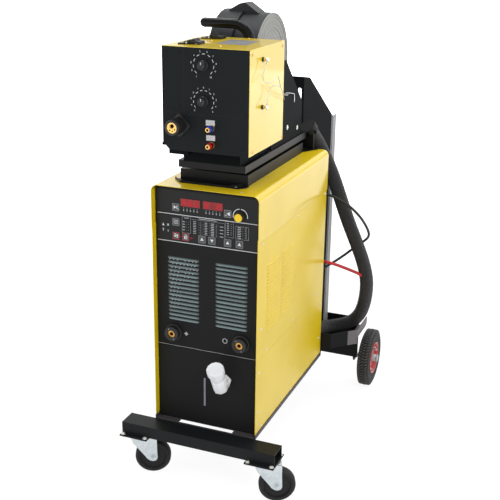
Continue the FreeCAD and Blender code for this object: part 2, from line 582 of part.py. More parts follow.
KEYS = {  # key fields on the membrane: centre x, and how far the centre is below the top
    "step_right": (-111, 74), "step_left": (72, 74), "wave": (-111, 124), "mode_one": (-111, 171.5),
    "mode_two": (-76, 171.5), "up_one": (-18, 171.5), "down_one": (17, 171.5), "up_two": (72, 171.5),
    "up_three": (113, 171.5),
}


def controls():
    """Membrane keypad, display windows, encoder and output sockets."""
    film = block("-membrane_width / 2", "membrane_width / 2", f"{PANEL_Y} - membrane", PANEL_Y, "membrane_low",
                 "membrane_high")
    fields = [block(f"{x} - key / 2", f"{x} + key / 2", f"{PANEL_Y} - membrane - key_proud", f"{PANEL_Y} - membrane",
                    f"source_top - {z} - key / 2", f"source_top - {z} + key / 2") for x, z in KEYS.values()]
    holes, windows = [], []
    for x in ("window_left_x", "window_right_x"):
        z0, z1 = "window_z - window_height / 2", "window_z + window_height / 2"
        x0, x1 = f"{x} - window_width / 2", f"{x} + window_width / 2"
        holes.append(block(f"{x0} - 0.3", f"{x1} + 0.3", f"{PANEL_Y} - 3", f"{PANEL_Y} + 1", f"{z0} - 0.3", f"{z1} + 0.3"))
        windows.append(block(x0, x1, f"{PANEL_Y} - membrane - window_proud", PANEL_Y, z0, z1))
    holes.append(rod("shaft + 1", f"{PANEL_Y} - 3", f"{PANEL_Y} + 1", "encoder_x", "encoder_z", "y"))
    name("control_membrane", cut(join(film, *fields), *holes))
    name("display_windows", together(*windows))
    bore = "shaft + running_fit"
    front = "-encoder_length"
    knob = put(turned("y", [("0", front), ("encoder_radius - 5", front), ("encoder_radius - 3", f"{front} + 2"),
                            ("encoder_radius - 3", "-8"), ("encoder_radius", "-7"), ("encoder_radius", "-membrane - seam_gap"),
                            (bore, "-membrane - seam_gap"), (bore, f"{front} + 3"), ("0", f"{front} + 3")]),
               "encoder_x", PANEL_Y, "encoder_z")
    name("encoder_knob", knob)
    collars, inserts = [], []
    for side in (-1, 1):
        x = f"{side} * socket_x"
        collars.append(put(turned("y", [
            ("socket_insert + running_fit", "-socket_reach"), ("socket_collar - 3", "-socket_reach"),
            ("socket_collar - 1", "2 - socket_reach"), ("socket_collar - 1", "-6"), ("socket_collar + 3", "-5"),
            ("socket_collar + 3", "0"), ("socket_insert + running_fit", "0")]), x, PANEL_Y, "socket_z"))
        inserts.append(put(turned("y", [
            ("socket_bore", "4 - socket_reach"), ("socket_insert", "4 - socket_reach"), ("socket_insert", "panel + 12"),
            ("socket_insert + 6", "panel + 12"), ("socket_insert + 6", "panel + 18"), ("socket_bore", "panel + 18")]),
            x, PANEL_Y, "socket_z"))
    name("output_sockets", together(*collars))
    name("socket_inserts", together(*inserts))


SIDE_SCREWS = (  # screws on each side panel: y, z
    (44, "source_top - 165"), ("body_depth - 340", "source_top - 165"), ("body_depth - 21", "source_top - 165"),
    (37, "source_foot + 110"), ("body_depth - 23", "source_foot + 110"), (96, "source_foot + 13"),
    ("body_depth - 350", "source_foot + 13"), ("body_depth - 80", "source_foot + 13"), (26, "source_foot - 45"),
    ("body_depth - 27", "source_foot - 45"), (28, "base_z + 90"), ("body_depth - 30", "base_z + 90"),
    (58, "base_z + 23"), ("body_depth - 366", "base_z + 23"), ("body_depth - 64", "base_z + 23"),
)


def case_screws():
    """Zinc fasteners of the case: panel screws with their heads on the sheet, and caster bolts."""
    screws = caster_bolts()
    for side in (-1, 1):
        for y, z in SIDE_SCREWS:
            start = SKIN if side > 0 else f"-({SKIN}) - 2"
            screws.append(rod(4.5, start, f"{start} + 2", y, z, "x"))
    for x, rise in ((-126, 14), (-7, 12), (119, 10)):
        screws.append(rod(4, f"{PANEL_Y} - 2", PANEL_Y, x, f"base_z + {rise}", "y"))
    screws.append(rod(4.5, f"{TOP_Z} + plate", f"{TOP_Z} + plate + 2", 80, 70, "z"))
    screws.append(rod(4, TOP_Z, f"{TOP_Z} + 2", 117, 28, "z"))
    for x in (78, -90):
        screws.append(rod(4.5, f"{TOP_Z} + plate", f"{TOP_Z} + plate + 2", x, "body_depth - 20", "z"))
    name("case_screws", together(*screws))


def case_rear():
    """Black rear panel with fan shroud, cable ports and the hose gland."""
    panel = arch(INNER, BACK_Y, "body_depth", "base_z + plate", f"{TOP_Z} - sheet - seam_gap",
                 "corner_radius - sheet - seam_gap")
    shroud = rod("fan_radius + 6", f"{BACK_Y} - 34", BACK_Y, "fan_x", "fan_z", "y")
    tunnel = rod("fan_radius + 3", f"{BACK_Y} - 40", "body_depth + 1", "fan_x", "fan_z", "y")
    bars = [block(f"fan_x - fan_radius - 4", f"fan_x + fan_radius + 4", BACK_Y, "body_depth",
                  f"fan_z + {k} * 17 - 1.5", f"fan_z + {k} * 17 + 1.5") for k in (-2, -1, 1, 2)]
    hub = block("fan_x - 16", "fan_x + 16", BACK_Y, "body_depth", "fan_z - 21", "fan_z + 21")
    spindle = rod("fan_shaft", f"{BACK_Y} - 30", BACK_Y, "fan_x", "fan_z", "y")
    ports = [rod("port_radius", "body_depth", "body_depth + port_reach", "port_x", z, "y")
             for z in ("control_high_z", "control_low_z")]
    nipple = rod("hose_width / 2 + 3", "body_depth", "body_depth + port_reach", "port_x", "return_z", "y")
    gland = rod("gland_radius", "body_depth", "body_depth + port_reach", "gland_x", "gland_z", "y")
    elbows = [rod("cable_width / 2 + 4", "port_x", "port_x + elbow_reach", "body_depth + elbow_off", "control_high_z", "x"),
              rod("hose_width / 2 + 3", "port_x", "port_x + elbow_reach - 6", "body_depth + elbow_off", "return_z", "x")]
    shaft = rod("shaft", "body_depth", "body_depth + 16", "switch_x", "switch_z", "y")
    name("rear_panel", join(cut(join(panel, shroud), tunnel), hub, spindle, nipple, gland, shaft, *elbows, *bars, *ports))
    blades = []
    for i in range(7):
        blade = doc.addObject("Part::Box", "Blade")
        blade.setExpression("Length", formula("fan_radius - fan_hub + 4"))
        blade.setExpression("Width", "2")
        blade.setExpression("Height", "26")
        spin = FreeCAD.Rotation(Y, i * 360 / 7)
        pitch = FreeCAD.Rotation(X, 55)
        root = FreeCAD.Vector(size("fan_hub") - 4, 0, 0) + pitch.multVec(FreeCAD.Vector(0, -1, -13))
        blade.Placement = FreeCAD.Placement(spin.multVec(root), spin.multiply(pitch))
        blades.append(blade)
    core = rod("fan_hub", -10, 10, 0, 0, "y", True)
    bore = rod("fan_shaft + running_fit", -20, 20, 0, 0, "y", True)
    fan = cut(join(core, *blades), bore)
    put(fan, "fan_x", f"{BACK_Y} - 16", "fan_z")
    name("cooling_fan", fan)
    bore = "shaft + running_fit"
    name("mains_switch", put(join(turned("y", [
        ("0", "22"), ("switch_radius - 6", "22"), ("switch_radius - 4", "8"), ("switch_radius", "6"),
        ("switch_radius", "seam_gap"), (bore, "seam_gap"), (bore, "18"), ("0", "18")]),
        block("-4", "4", "20", "28", "4 - switch_radius", "switch_radius - 4", True)),
        "switch_x", "body_depth", "switch_z"))
    fins = [block(f"-120 + {i} * 14", f"-116 + {i} * 14", "80", "300", f"{SEAM_Z} + 90", f"{SEAM_Z} + 200")
            for i in range(18)]
    heatsink = join(block("-124", "126", "80", "300", f"{SEAM_Z} + 80", f"{SEAM_Z} + 92"),
                    block("-124", "-112", "80", "300", SEAM_Z, f"{SEAM_Z} + 92"),
                    block("114", "126", "80", "300", SEAM_Z, f"{SEAM_Z} + 92"), *fins)
    transformer = join(block("-110", "110", "370", "520", SEAM_Z, f"{SEAM_Z} + 180"),
                       *[rod(62, "360", "530", x, f"{SEAM_Z} + 90", "y") for x in (-50, 50)])
    name("power_module", together(heatsink, transformer))


def platform():
    """Fixed channel on the case and its turntable boss."""
    top = f"{TOP_Z} + platform_height"
    half, front, rear = "platform_half", "platform_front", "platform_rear"
    left = "platform_left"
    walls = [block(left, f"{left} + plate", front, rear, TOP_Z, top),
             block(f"{half} - plate", half, front, rear, TOP_Z, top),
             block(left, half, front, f"{front} + plate", TOP_Z, top),
             block(left, half, f"{rear} - plate", rear, TOP_Z, top),
             block(left, half, front, rear, f"{top} - plate", top)]
    lip = put(plate("XY_Plane", [("platform_left", "platform_front + 1"), ("platform_left - 21", "platform_front + 1"),
                                 ("platform_left + 16", "platform_front - platform_lip"),
                                 ("platform_half - 16", "platform_front - platform_lip"),
                                 ("platform_half + 4", "platform_front - 18"), ("platform_half + 4", "platform_front + 1")],
                    "plate"), 0, 0, TOP_Z)
    rim = put(plate("XY_Plane", [("platform_left - 20", "platform_front"), ("platform_left + 16", "platform_front - platform_lip"),
                                 ("platform_half - 52", "platform_front - platform_lip"),
                                 ("platform_half - 20", "platform_front"), ("platform_half - 24", "platform_front"),
                                 ("platform_half - 54", "platform_front - platform_lip + 3"),
                                 ("platform_left + 17", "platform_front - platform_lip + 3"),
                                 ("platform_left - 16", "platform_front")], "7"), 0, 0, TOP_Z)
    tail = put(plate("XY_Plane", [("platform_left", "platform_rear - 1"), ("platform_half", "platform_rear - 1"),
                                  ("platform_half + 38", "body_depth - 12"), ("platform_half + 24", "body_depth"),
                                  ("platform_left", "body_depth")], "plate"), 0, 0, TOP_Z)
    ring = rod("turntable_radius", top, "tray_top - plate", 0, "pivot_y", "z")
    pin = rod("pivot_radius", top, "tray_top + 12", 0, "pivot_y", "z")
    name("platform", join(lip, rim, tail, ring, pin, clamp_for_sleeve(), *walls))


def clamp_for_sleeve():
    """Upright at the back of the platform with a cuff that grips the hose sleeve."""
    start, second = sleeve_route()[0], sleeve_route()[1]
    way = (second - start).normalize()
    outer = Part.makeCylinder(size("sleeve_width") / 2 + 4, 26, start - way * 22, way)
    inner = Part.makeCylinder(size("sleeve_width") / 2, 30, start - way * 1, way)
    top = size("base_z") + size("cooler_height") + size("source_height") + size("plate")
    stem_size, stem_depth = 44, 10
    stem = Part.makeBox(stem_size, stem_depth, start.z - top - 10, FreeCAD.Vector(start.x - 22, start.y - 22, top))
    cuff = doc.addObject("Part::Feature", "Cuff")
    cuff.Shape = outer.fuse(stem).cut(inner).removeSplitter()
    cuff.Placement = FreeCAD.Placement()
    return cuff


def swivel_tray():
    """Turning tray that carries the feeder."""
    low, top, left, half = "tray_low", "tray_top", "tray_left", "tray_half"
    deck = block(left, half, "tray_front", "tray_rear", f"{top} - plate", top)
    walls = [block(left, f"{left} + plate", "tray_front", "tray_rear", low, top),
             block(f"{half} - plate", half, "tray_front", "tray_rear", low, top),
             block(left, half, "tray_front", "tray_front + plate", low, top),
             block(left, half, "tray_rear - plate", "tray_rear", low, top)]
    hole = rod("pivot_radius + running_fit", f"{low} - 5", f"{top} + 20", 0, "pivot_y", "z")
    name("swivel_tray", cut(join(deck, *walls), hole))


IN_FRONT = "(feeder_front + 0.5)"
BEHIND = "(feeder_front + 0.5 + panel)"
BOX_HALF = "(feeder_half - sheet - seam_gap)"
BOX_TOP = "(feeder_top - sheet - seam_gap)"


def feeder_frame():
    """Black floor, back and drive wall of the wire feeder, its front plate and its spool bracket."""
    front = put(plate("XZ_Plane", [(f"-{BOX_HALF}", "feeder_low + chamfer_low"),
                                   (f"-{BOX_HALF} + chamfer_low", "feeder_low"), (BOX_HALF, "feeder_low"),
                                   (BOX_HALF, BOX_TOP), (f"-{BOX_HALF}", BOX_TOP)], "panel"), 0, IN_FRONT, 0)
    floor = block(f"-{BOX_HALF} + chamfer_low", BOX_HALF, BEHIND, "feeder_rear", "feeder_low", "feeder_low + plate")
    back = block(f"-{BOX_HALF}", BOX_HALF, "feeder_rear - panel", "feeder_rear", "feeder_low + chamfer_low", BOX_TOP)
    wall = block("drive_plate_x", "drive_plate_x + 4", BEHIND, "feeder_rear - 1", "feeder_low", f"{BOX_TOP} - 4")
    plinth = block("-plinth_half", "plinth_half", "feeder_front + 47", "feeder_rear - 12", "tray_top", "feeder_low + 1")
    rail = block("-128", "-62", f"{IN_FRONT} + 4", "feeder_rear - 12", "feeder_low - 13", "feeder_low + 1")
    bracket = put(plate("YZ_Plane", [("feeder_rear", "tray_top"), ("bracket_rear", "tray_top"),
                                     ("bracket_rear", "bracket_notch_z"), ("bracket_top_y", "bracket_top_z"),
                                     ("feeder_rear", "bracket_top_z + 20")], "plate"), "bracket_x", 0, 0)
    stand = put(plate("YZ_Plane", [("spool_y - 70", "tray_top"), ("spool_y + 95", "tray_top"),
                                   ("spool_y + 55", "spool_z + 5"), ("spool_y + 30", "spool_z + 30"),
                                   ("spool_y - 30", "spool_z + 30"), ("spool_y - 55", "spool_z + 5")], "plate + 1"),
                "stand_x", 0, 0)
    foot = block("stand_x - 1", "bracket_x + 1", "feeder_rear + 8", "bracket_rear", "tray_top", "tray_top + plate")
    ears = []
    for y0, y1 in ((BEHIND, f"{IN_FRONT} + 12"), ("feeder_rear - 12", "feeder_rear")):
        ears.append(block("-feeder_half - 5", f"-{BOX_HALF} + 6", y0, y1, "door_hinge_z - 4", "door_hinge_z + 4"))
    pin = rod("hinge_pin", f"{BEHIND} + 2", "feeder_rear - 2", "-feeder_half - 1.5", "door_hinge_z", "y")
    shafts = [rod("shaft", "feeder_front + 4 - knob_length", "feeder_front + 2", "dial_x", z, "y")
              for z in ("feed_dial_z", "volt_dial_z")]
    web = block(f"-{BOX_HALF}", f"-{BOX_HALF} + panel", BEHIND, "feeder_rear", "feeder_low + chamfer_low - 4",
                "feeder_low + chamfer_low + 1")
    ramp = put(plate("XZ_Plane", [(f"-{BOX_HALF}", "feeder_low + chamfer_low"),
                                  (f"-{BOX_HALF} + chamfer_low", "feeder_low"),
                                  (f"-{BOX_HALF} + chamfer_low + 3", "feeder_low + 1"),
                                  (f"-{BOX_HALF} + 2", "feeder_low + chamfer_low + 2")],
                     f"feeder_rear - 0.5 - {BEHIND}"), 0, BEHIND, 0)
    gun_hole = rod("gun_core + 0.3", f"{IN_FRONT} - 1", f"{IN_FRONT} + panel + 1", "wire_x", "gun_z", "y")
    pipe_holes = [rod("coupling_body + 0.2", f"{IN_FRONT} - 1", f"{IN_FRONT} + panel + 1", "coupling_x", z, "y")
                  for z in ("coupling_high_z", "coupling_low_z")]
    wire_hole = rod("6.2", "feeder_rear - panel - 1", "feeder_rear + 1", "wire_x", "wire_z", "y")
    motor_hole = rod("12.5", "drive_plate_x - 1", "drive_plate_x + 5", "roll_y", "wire_z - roll_radius", "x")
    room = [rod("hinge_pin + 2.8", y0, y1, "-feeder_half - 1.5", "door_hinge_z", "y")
            for y0, y1 in (("feeder_front + 19", "feeder_front + 81"), ("feeder_rear - 81", "feeder_rear - 19"))]
    shell = cut(join(web, ramp), *room)
    body = join(floor, back, wall, plinth, rail, shell, pin, *ears)
    name("feeder_frame", cut(body, wire_hole, motor_hole))
    name("feeder_front", cut(join(front, *shafts), gun_hole, *pipe_holes))
    pivot = rod("pivot_radius + running_fit", "tray_top - 1", "tray_top + 14", 0, "pivot_y", "z")
    name("spool_bracket", cut(join(bracket, stand, foot), pivot))


def feeder_cover():
    """Yellow right-hand skin and the fixed part of the top."""
    seam = "(-feeder_half + door_top_width + door_gap)"
    top = block(seam, "feeder_half", "feeder_front", "feeder_rear", "feeder_top - sheet", "feeder_top")
    right = block("feeder_half - sheet", "feeder_half", "feeder_front", "feeder_rear", "feeder_low", "feeder_top")
    name("feeder_cover", join(top, right))


LATCH_PIN_X = "(latch_left + 7)"


def feeder_door():
    """Yellow left-hand door, hinged along its foot, with a flange over the top and latch ears."""
    skin = block("-feeder_half", "sheet - feeder_half", "feeder_front", "feeder_rear", "door_hinge_z", "feeder_top")
    flange = block("-feeder_half", "-feeder_half + door_top_width", "feeder_front", "feeder_rear", "feeder_top - sheet",
                   "feeder_top")
    knuckles = [rod("hinge_pin + 2.5", y0, y1, "-feeder_half - 1.5", "door_hinge_z", "y")
                for y0, y1 in (("feeder_front + 20", "feeder_front + 80"), ("feeder_rear - 80", "feeder_rear - 20"))]
    ear_room = [block("-feeder_half - 8", "-feeder_half + 12", y0, y1, "door_hinge_z - 8", "door_hinge_z + 6")
                for y0, y1 in (("feeder_front - 1", "feeder_front + 14"), ("feeder_rear - 14", "feeder_rear + 1"))]
    channel = rod("hinge_pin + running_fit", "feeder_front - 2", "feeder_rear + 2", "-feeder_half - 1.5", "door_hinge_z", "y")
    ears = []
    for word in ("front", "rear"):
        y = f"latch_{word}_y"
        for y0 in (f"{y} - 4.3", f"{y} + latch_width + 0.3"):
            ears.append(block(f"{LATCH_PIN_X} - 6", f"{LATCH_PIN_X} + 7", y0, f"{y0} + 4", "feeder_top", "feeder_top + 10"))
        ears.append(rod("latch_pin", f"{y} - 3", f"{y} + latch_width + 3", LATCH_PIN_X, "feeder_top + 6", "y"))
    name("feeder_door", join(cut(join(skin, flange, *knuckles), channel, *ear_room), *ears))


def latches():
    """Levers on the door whose noses press on the fixed top."""
    for word in ("front", "rear"):
        y = f"latch_{word}_y"
        tip = "latch_left + latch_length"
        lever = put(plate("XZ_Plane", [
            (LATCH_PIN_X, "feeder_top + 3"), (f"{tip} - 8", "feeder_top + 3"), (f"{tip} - 8", "feeder_top + seam_gap"),
            (tip, "feeder_top + seam_gap"), (tip, "feeder_top + 9"), (f"{tip} - 15", "feeder_top + 10.5"),
            (f"{tip} - 18", "feeder_top + 17"), (LATCH_PIN_X, "feeder_top + 11")], "latch_width"), 0, y, 0)
        knuckle = rod("latch_pin + 2.7", y, f"{y} + latch_width", LATCH_PIN_X, "feeder_top + 6", "y")
        bore = rod("latch_pin + running_fit", f"{y} - 1", f"{y} + latch_width + 1", LATCH_PIN_X, "feeder_top + 6", "y")
        name(f"latch_{word}", cut(join(lever, knuckle), bore))


def carry_handle():
    """Bent tube handle in one black sleeve, bolted to the back of the feeder."""
    bend = doc.addObject("Part::Torus", "Bend")
    bend.setExpression("Radius1", formula("handle_bend"))
    bend.setExpression("Radius2", formula("handle_radius"))
    bend.Angle3 = 90
    bend.Placement = FreeCAD.Placement(FreeCAD.Vector(), FreeCAD.Rotation(X, 90))
    put(bend, "handle_leg_x - handle_bend", "handle_y", "handle_z - handle_bend")
    grip = rod("handle_radius", "handle_end_x + handle_radius", "handle_leg_x - handle_bend", "handle_y", "handle_z", "x")
    end = ball("handle_radius", "handle_end_x + handle_radius", "handle_y", "handle_z")
    foot = block("handle_leg_x - handle_radius", "handle_leg_x + handle_radius", "feeder_rear", "handle_y",
                 "feeder_top - 50", "handle_z - handle_bend")
    cheek = block("handle_leg_x - handle_radius - 8", "handle_leg_x + handle_radius + 8", "feeder_rear",
                  "feeder_rear + 5", "feeder_top - 50", "feeder_top - 10")
    name("carry_handle", join(bend, grip, end, foot, cheek))


def dial_knob(label, z):
    """Black pointer knob on a potentiometer shaft."""
    front, bore = "-knob_length", "shaft + running_fit"
    body = turned("y", [("0", front), ("knob_radius - 6", front), ("knob_radius - 4.5", f"{front} + 1.5"),
                        ("knob_radius - 3", "-7"), ("knob_radius", "-6"), ("knob_radius", "-seam_gap"),
                        (bore, "-seam_gap"), (bore, f"{front} + 3"), ("0", f"{front} + 3")])
    pointer = block("-1.2", "1.2", "-knob_length - 0.8", "3 - knob_length", "2", "knob_radius - 6", True)
    name(label, put(join(body, pointer), "dial_x", IN_FRONT, z))


def feeder_front_fittings():
    """Gun socket, quick couplings and the two speed and voltage knobs."""
    dial_knob("feed_knob", "feed_dial_z")
    dial_knob("voltage_knob", "volt_dial_z")
    slab = doc.addObject("Part::Box", "Flange")
    for side, text in (("Length", "gun_flange"), ("Width", "6"), ("Height", "gun_flange")):
        slab.setExpression(side, formula(text))
    slab.Placement = FreeCAD.Placement(FreeCAD.Vector(), FreeCAD.Rotation(Y, 45))
    put(slab, "wire_x - gun_flange * 0.7071", f"{IN_FRONT} - 6", "gun_z")
    collar = rod("gun_collar", "feeder_front - gun_reach", f"{IN_FRONT} - 1", "wire_x", "gun_z", "y")
    bore = rod("gun_core + running_fit", "feeder_front - gun_reach - 1", f"{IN_FRONT} + 1", "wire_x", "gun_z", "y")
    name("gun_collar", cut(join(slab, collar), bore))
    core = rod("gun_core", "feeder_front - gun_reach + 2", "feeder_front + 60", "wire_x", "gun_z", "y")
    main = rod("gun_bore", "feeder_front - gun_reach", "feeder_front + 61", "wire_x", "wire_z", "y")
    seat = rod("gun_bore + 1.6", "feeder_front - gun_reach", "feeder_front - gun_reach + 4.5", "wire_x", "wire_z", "y")
    small = [rod("2.5", "feeder_front - gun_reach", "feeder_front - gun_reach + 20", f"wire_x + ({a})", f"gun_z - {b}", "y")
             for a, b in ((-7.3, 7.3), (1.8, 10.2), (9.3, 4.4))]
    name("gun_core", cut(core, main, seat, *small))
    bodies = []
    for word, z in (("blue", "coupling_high_z"), ("red", "coupling_low_z")):
        r = "coupling_body"
        bodies.append(put(turned("y", [
            ("coupling_bore", "-coupling_reach"), (f"{r} + 1", "-coupling_reach"), (f"{r} + 1.5", "1 - coupling_reach"),
            (f"{r} + 1.5", "10 - coupling_reach"), (r, "11 - coupling_reach"), (r, "-5"), (f"{r} + 3.8", "-5"),
            (f"{r} + 3.8", "0"), (r, "0"), (r, "panel + 14"), ("coupling_bore", "panel + 14")]),
            "coupling_x", IN_FRONT, z))
        ring = turned("y", [(f"{r} + running_fit", "11.3 - coupling_reach"), ("coupling_sleeve - 1", "11.3 - coupling_reach"),
                            ("coupling_sleeve", "12.3 - coupling_reach"), ("coupling_sleeve", "-5.6 - sleeve_travel"),
                            (f"{r} + running_fit", "-5.6 - sleeve_travel")])
        name(f"coupling_sleeve_{word}", put(ring, "coupling_x", IN_FRONT, z))
    name("coupling_bodies", together(*bodies))
    plugs = [join(rod("5", "feeder_half", "feeder_half + 6", "plug_y", z, "x"),
                  rod("4", "feeder_half + 5", "feeder_half + 13", "plug_y", z, "x"),
                  rod("5.5", "feeder_half + 12", "feeder_half + 20", "plug_y", z, "x"))
             for z in ("plug_high_z", "plug_low_z")]
    name("tethered_plugs", together(*plugs))


def wire_drive():
    """Drive motor and gearbox, its roll pair and the wire guides."""
    x = "drive_plate_x"
    motor = join(rod("12", f"{x} - 2", f"{x} + 30", "roll_y", "wire_z - roll_radius", "x"),
                 rod("38", f"{x} + 4", f"{x} + 120", "roll_y", "wire_z - roll_radius", "x"))
    inlet = rod("6", "roll_y + 20", "feeder_rear + 14", "wire_x", "wire_z", "y")
    outlet = rod("4.8", "feeder_front + 62", "roll_y - 19", "wire_x", "wire_z", "y")
    block_in = block("wire_x - 8", x, "roll_y + 26", "roll_y + 50", "wire_z - 12", "wire_z + 12")
    block_out = block("wire_x - 8", x, "roll_y - 48", "roll_y - 28", "wire_z - 12", "wire_z + 12")
    gearbox = block(f"{x} - 14", x, "roll_y - 50", "roll_y + 52", "wire_z - roll_radius - 26", "wire_z - 12")
    arm = join(block(f"{x} - 14", x, "roll_y - 24", "roll_y + 24", "wire_z + roll_radius + 6", "wire_z + 60"),
               block(f"{x} - 14", x, "roll_y + 28", "roll_y + 50", "wire_z - 12", "wire_z + 60"),
               block(f"{x} - 14", x, "roll_y + 20", "roll_y + 50", "wire_z + 44", "wire_z + 60"))
    shafts = [rod("4", "wire_x - 12", x, "roll_y", z, "x")
              for z in ("wire_z - roll_radius", "wire_z + roll_radius")]
    hang = block(f"{x} - 6", x, "roll_y - 8", "roll_y + 8", "wire_z + roll_radius - 6", "wire_z + roll_radius + 20")
    name("wire_drive", join(motor, inlet, outlet, block_in, block_out, gearbox, arm, hang, *shafts))
    for label, z, gap in (("drive_roll", "wire_z - roll_radius", 0.15), ("pressure_roll", "wire_z + roll_radius", 0.15)):
        w = "roll_width / 2"
        bore = "4 + running_fit"
        roll = turned("x", [(f"-{w}", bore), (f"-{w}", f"roll_radius - {gap}"), ("-1", f"roll_radius - {gap}"),
                            ("0", f"roll_radius - {gap} - 0.8"), ("1", f"roll_radius - {gap}"),
                            (w, f"roll_radius - {gap}"), (w, bore)])
        name(label, put(roll, "wire_x", "roll_y", z))


LID_HINGE_Z = "(spool_z - lid_radius - 7)"


def spool():
    """Two-part spool cover, the wire spool and the spindle that carries both."""
    r, y, z = "cover_radius", "spool_y", "spool_z"
    barrel = cut(rod(r, "cover_seam + 0.2", "cover_right", y, z, "x"),
                 rod(f"{r} - cover_wall", "cover_seam - 1", "cover_right - cover_wall", y, z, "x"))
    rings = [cut(rod(outer, "cover_right - 1", "cover_right + 1.5", y, z, "x"),
                 rod(inner, "cover_right - 2", "cover_right + 3", y, z, "x"))
             for outer, inner in (("cover_radius - 10", "cover_radius - 16"), ("cover_radius - 45", "cover_radius - 51"),
                                  ("cover_radius - 80", "cover_radius - 86"))]
    spindle = rod("hub_spindle", "spool_left - 7", "cover_right", y, z, "x")
    collar = rod("hub_spindle + 15", "cover_right - 1", "stand_x", y, z, "x")
    nut = rod("hub_spindle + 5", "spool_left - 8", "spool_left - 1", y, z, "x")
    ears = []
    for start in (f"{y} - 39", f"{y} + 29"):
        ears += [block("cover_seam + 2", "cover_seam + 12", start, f"{start} + 10", LID_HINGE_Z + " - 5", f"{z} - {r} + 6"),
                 block("cover_seam - 6", "cover_seam + 3", start, f"{start} + 10", LID_HINGE_Z + " - 5",
                       LID_HINGE_Z + " + 5")]
    pin = rod("hinge_pin + 0.5", f"{y} - 38", f"{y} + 38", "cover_seam", LID_HINGE_Z, "y")
    ridge, low = f"{z} + {r} + 32", f"{z} + {r} - 9"
    ramp = put(plate("XZ_Plane", [("cover_seam + 0.4", low), ("cover_seam + gable", low),
                                  ("cover_seam + gable", f"{z} + {r} - 1"), ("cover_seam + 5", ridge),
                                  ("cover_seam + 0.4", ridge)], "gable_depth"), 0, f"{y} - 40", 0)
    name("spool_cover", join(barrel, spindle, collar, nut, pin, ramp, *ears, *rings))
    lid = cut(rod("lid_radius", "cover_left", "cover_seam", y, z, "x"),
              rod("lid_radius - cover_wall", "cover_left + cover_wall", "cover_seam + 1", y, z, "x"))
    dish = cut(rod("lid_radius - 14", "cover_left - 4", "cover_left + 1", y, z, "x"),
               rod("lid_radius - 22", "cover_left - 5", "cover_left + 2", y, z, "x"))
    crest = f"{z} + lid_radius"
    wedge = put(plate("XZ_Plane", [("cover_seam - gable", f"{crest} - 9"), ("cover_seam", f"{crest} - 9"),
                                   ("cover_seam", ridge), ("cover_seam - 6", ridge),
                                   ("cover_seam - 16", f"{ridge} - 3"), ("cover_seam - gable", crest)],
                      "gable_depth"), 0, f"{y} - 40", 0)
    tongue = block("cover_seam - 40", "cover_seam", f"{y} - 20", f"{y} + 20", f"{z} - lid_radius - 6",
                   f"{z} - lid_radius + 1")
    knuckle = rod("5", f"{y} - 20", f"{y} + 20", "cover_seam", LID_HINGE_Z, "y")
    channel = rod("hinge_pin + 0.5 + running_fit", f"{y} - 21", f"{y} + 21", "cover_seam", LID_HINGE_Z, "y")
    name("spool_lid", cut(join(lid, dish, wedge, tongue, knuckle), channel))
    right = "(spool_left + spool_width)"
    bore = "hub_spindle + running_fit"
    name("wire_spool", put(turned("x", [
        ("spool_left", bore), ("spool_left", "spool_radius"), ("spool_left + 4", "spool_radius"),
        ("spool_left + 4", "spool_core"), (f"{right} - 4", "spool_core"), (f"{right} - 4", "spool_radius"),
        (right, "spool_radius"), (right, bore)]), 0, y, z))


def tube(label, route, width):
    """Cord along straight runs joined by tangent arcs as large as the runs allow."""
    radius = width / 2
    edges, smallest, last = [], 1e9, route[0]
    for before, corner, after in zip(route, route[1:], route[2:]):
        inward = (corner - before).normalize()
        onward = (after - corner).normalize()
        half_turn = inward.getAngle(onward) / 2
        shorter = min((corner - before).Length, (after - corner).Length)
        reach = 0.45 * shorter
        bend = reach / math.tan(half_turn)
        smallest = min(smallest, bend)
        start, end = corner - inward * reach, corner + onward * reach
        middle_way = (onward - inward).normalize()
        centre = corner + middle_way * (bend / math.cos(half_turn))
        middle = centre - middle_way * bend
        edges.append(Part.LineSegment(last, start).toShape())
        edges.append(Part.Arc(start, middle, end).toShape())
        last = end
    edges.append(Part.LineSegment(last, route[-1]).toShape())
    path = Part.Wire(edges)
    ring = Part.Wire(Part.makeCircle(radius, route[0], route[1] - route[0]))
    shape = path.makePipeShell([ring], True, True)
    expected = math.pi * radius * radius * path.Length
    print(f"{label}: length {path.Length:.0f}, tightest radius {smallest:.0f}, "
          f"volume ratio {abs(shape.Volume) / expected:.4f}")
    cord = doc.addObject("Part::Feature", label)
    cord.Shape = shape
    cord.Placement = FreeCAD.Placement()
    return cord


def points(*places):
    """Route points, with y from the front lip."""
    return [FreeCAD.Vector(x, y - size("lip_setback"), z) for x, y, z in places]


def behind(*places):
    """Route points off the right side sheet, the back of the case and the height of its top."""
    rise = size("source_top") - size("gland_z")
    return points(*[(x + size("body_width") / 2, y + size("body_depth"), size("source_top") + z * rise / 758)
                    for x, y, z in places])


def sleeve_route():
    """Black hose sleeve from the clamp behind the platform down to the gland of the cooler."""
    return behind(
        (-76, -4, 72), (-60, 34, 28), (-36, 54, -30), (-6, 70, -100), (26, 81, -192), (58, 90, -286),
        (93, 100, -374), (124, 114, -460), (141, 126, -538), (138, 140, -606), (128, 152, -662),
        (110, 164, -712), (78, 168, -750), (36, 160, -768), (-4, 132, -770), (-31, 86, -763),
        (-40, 18, -758))


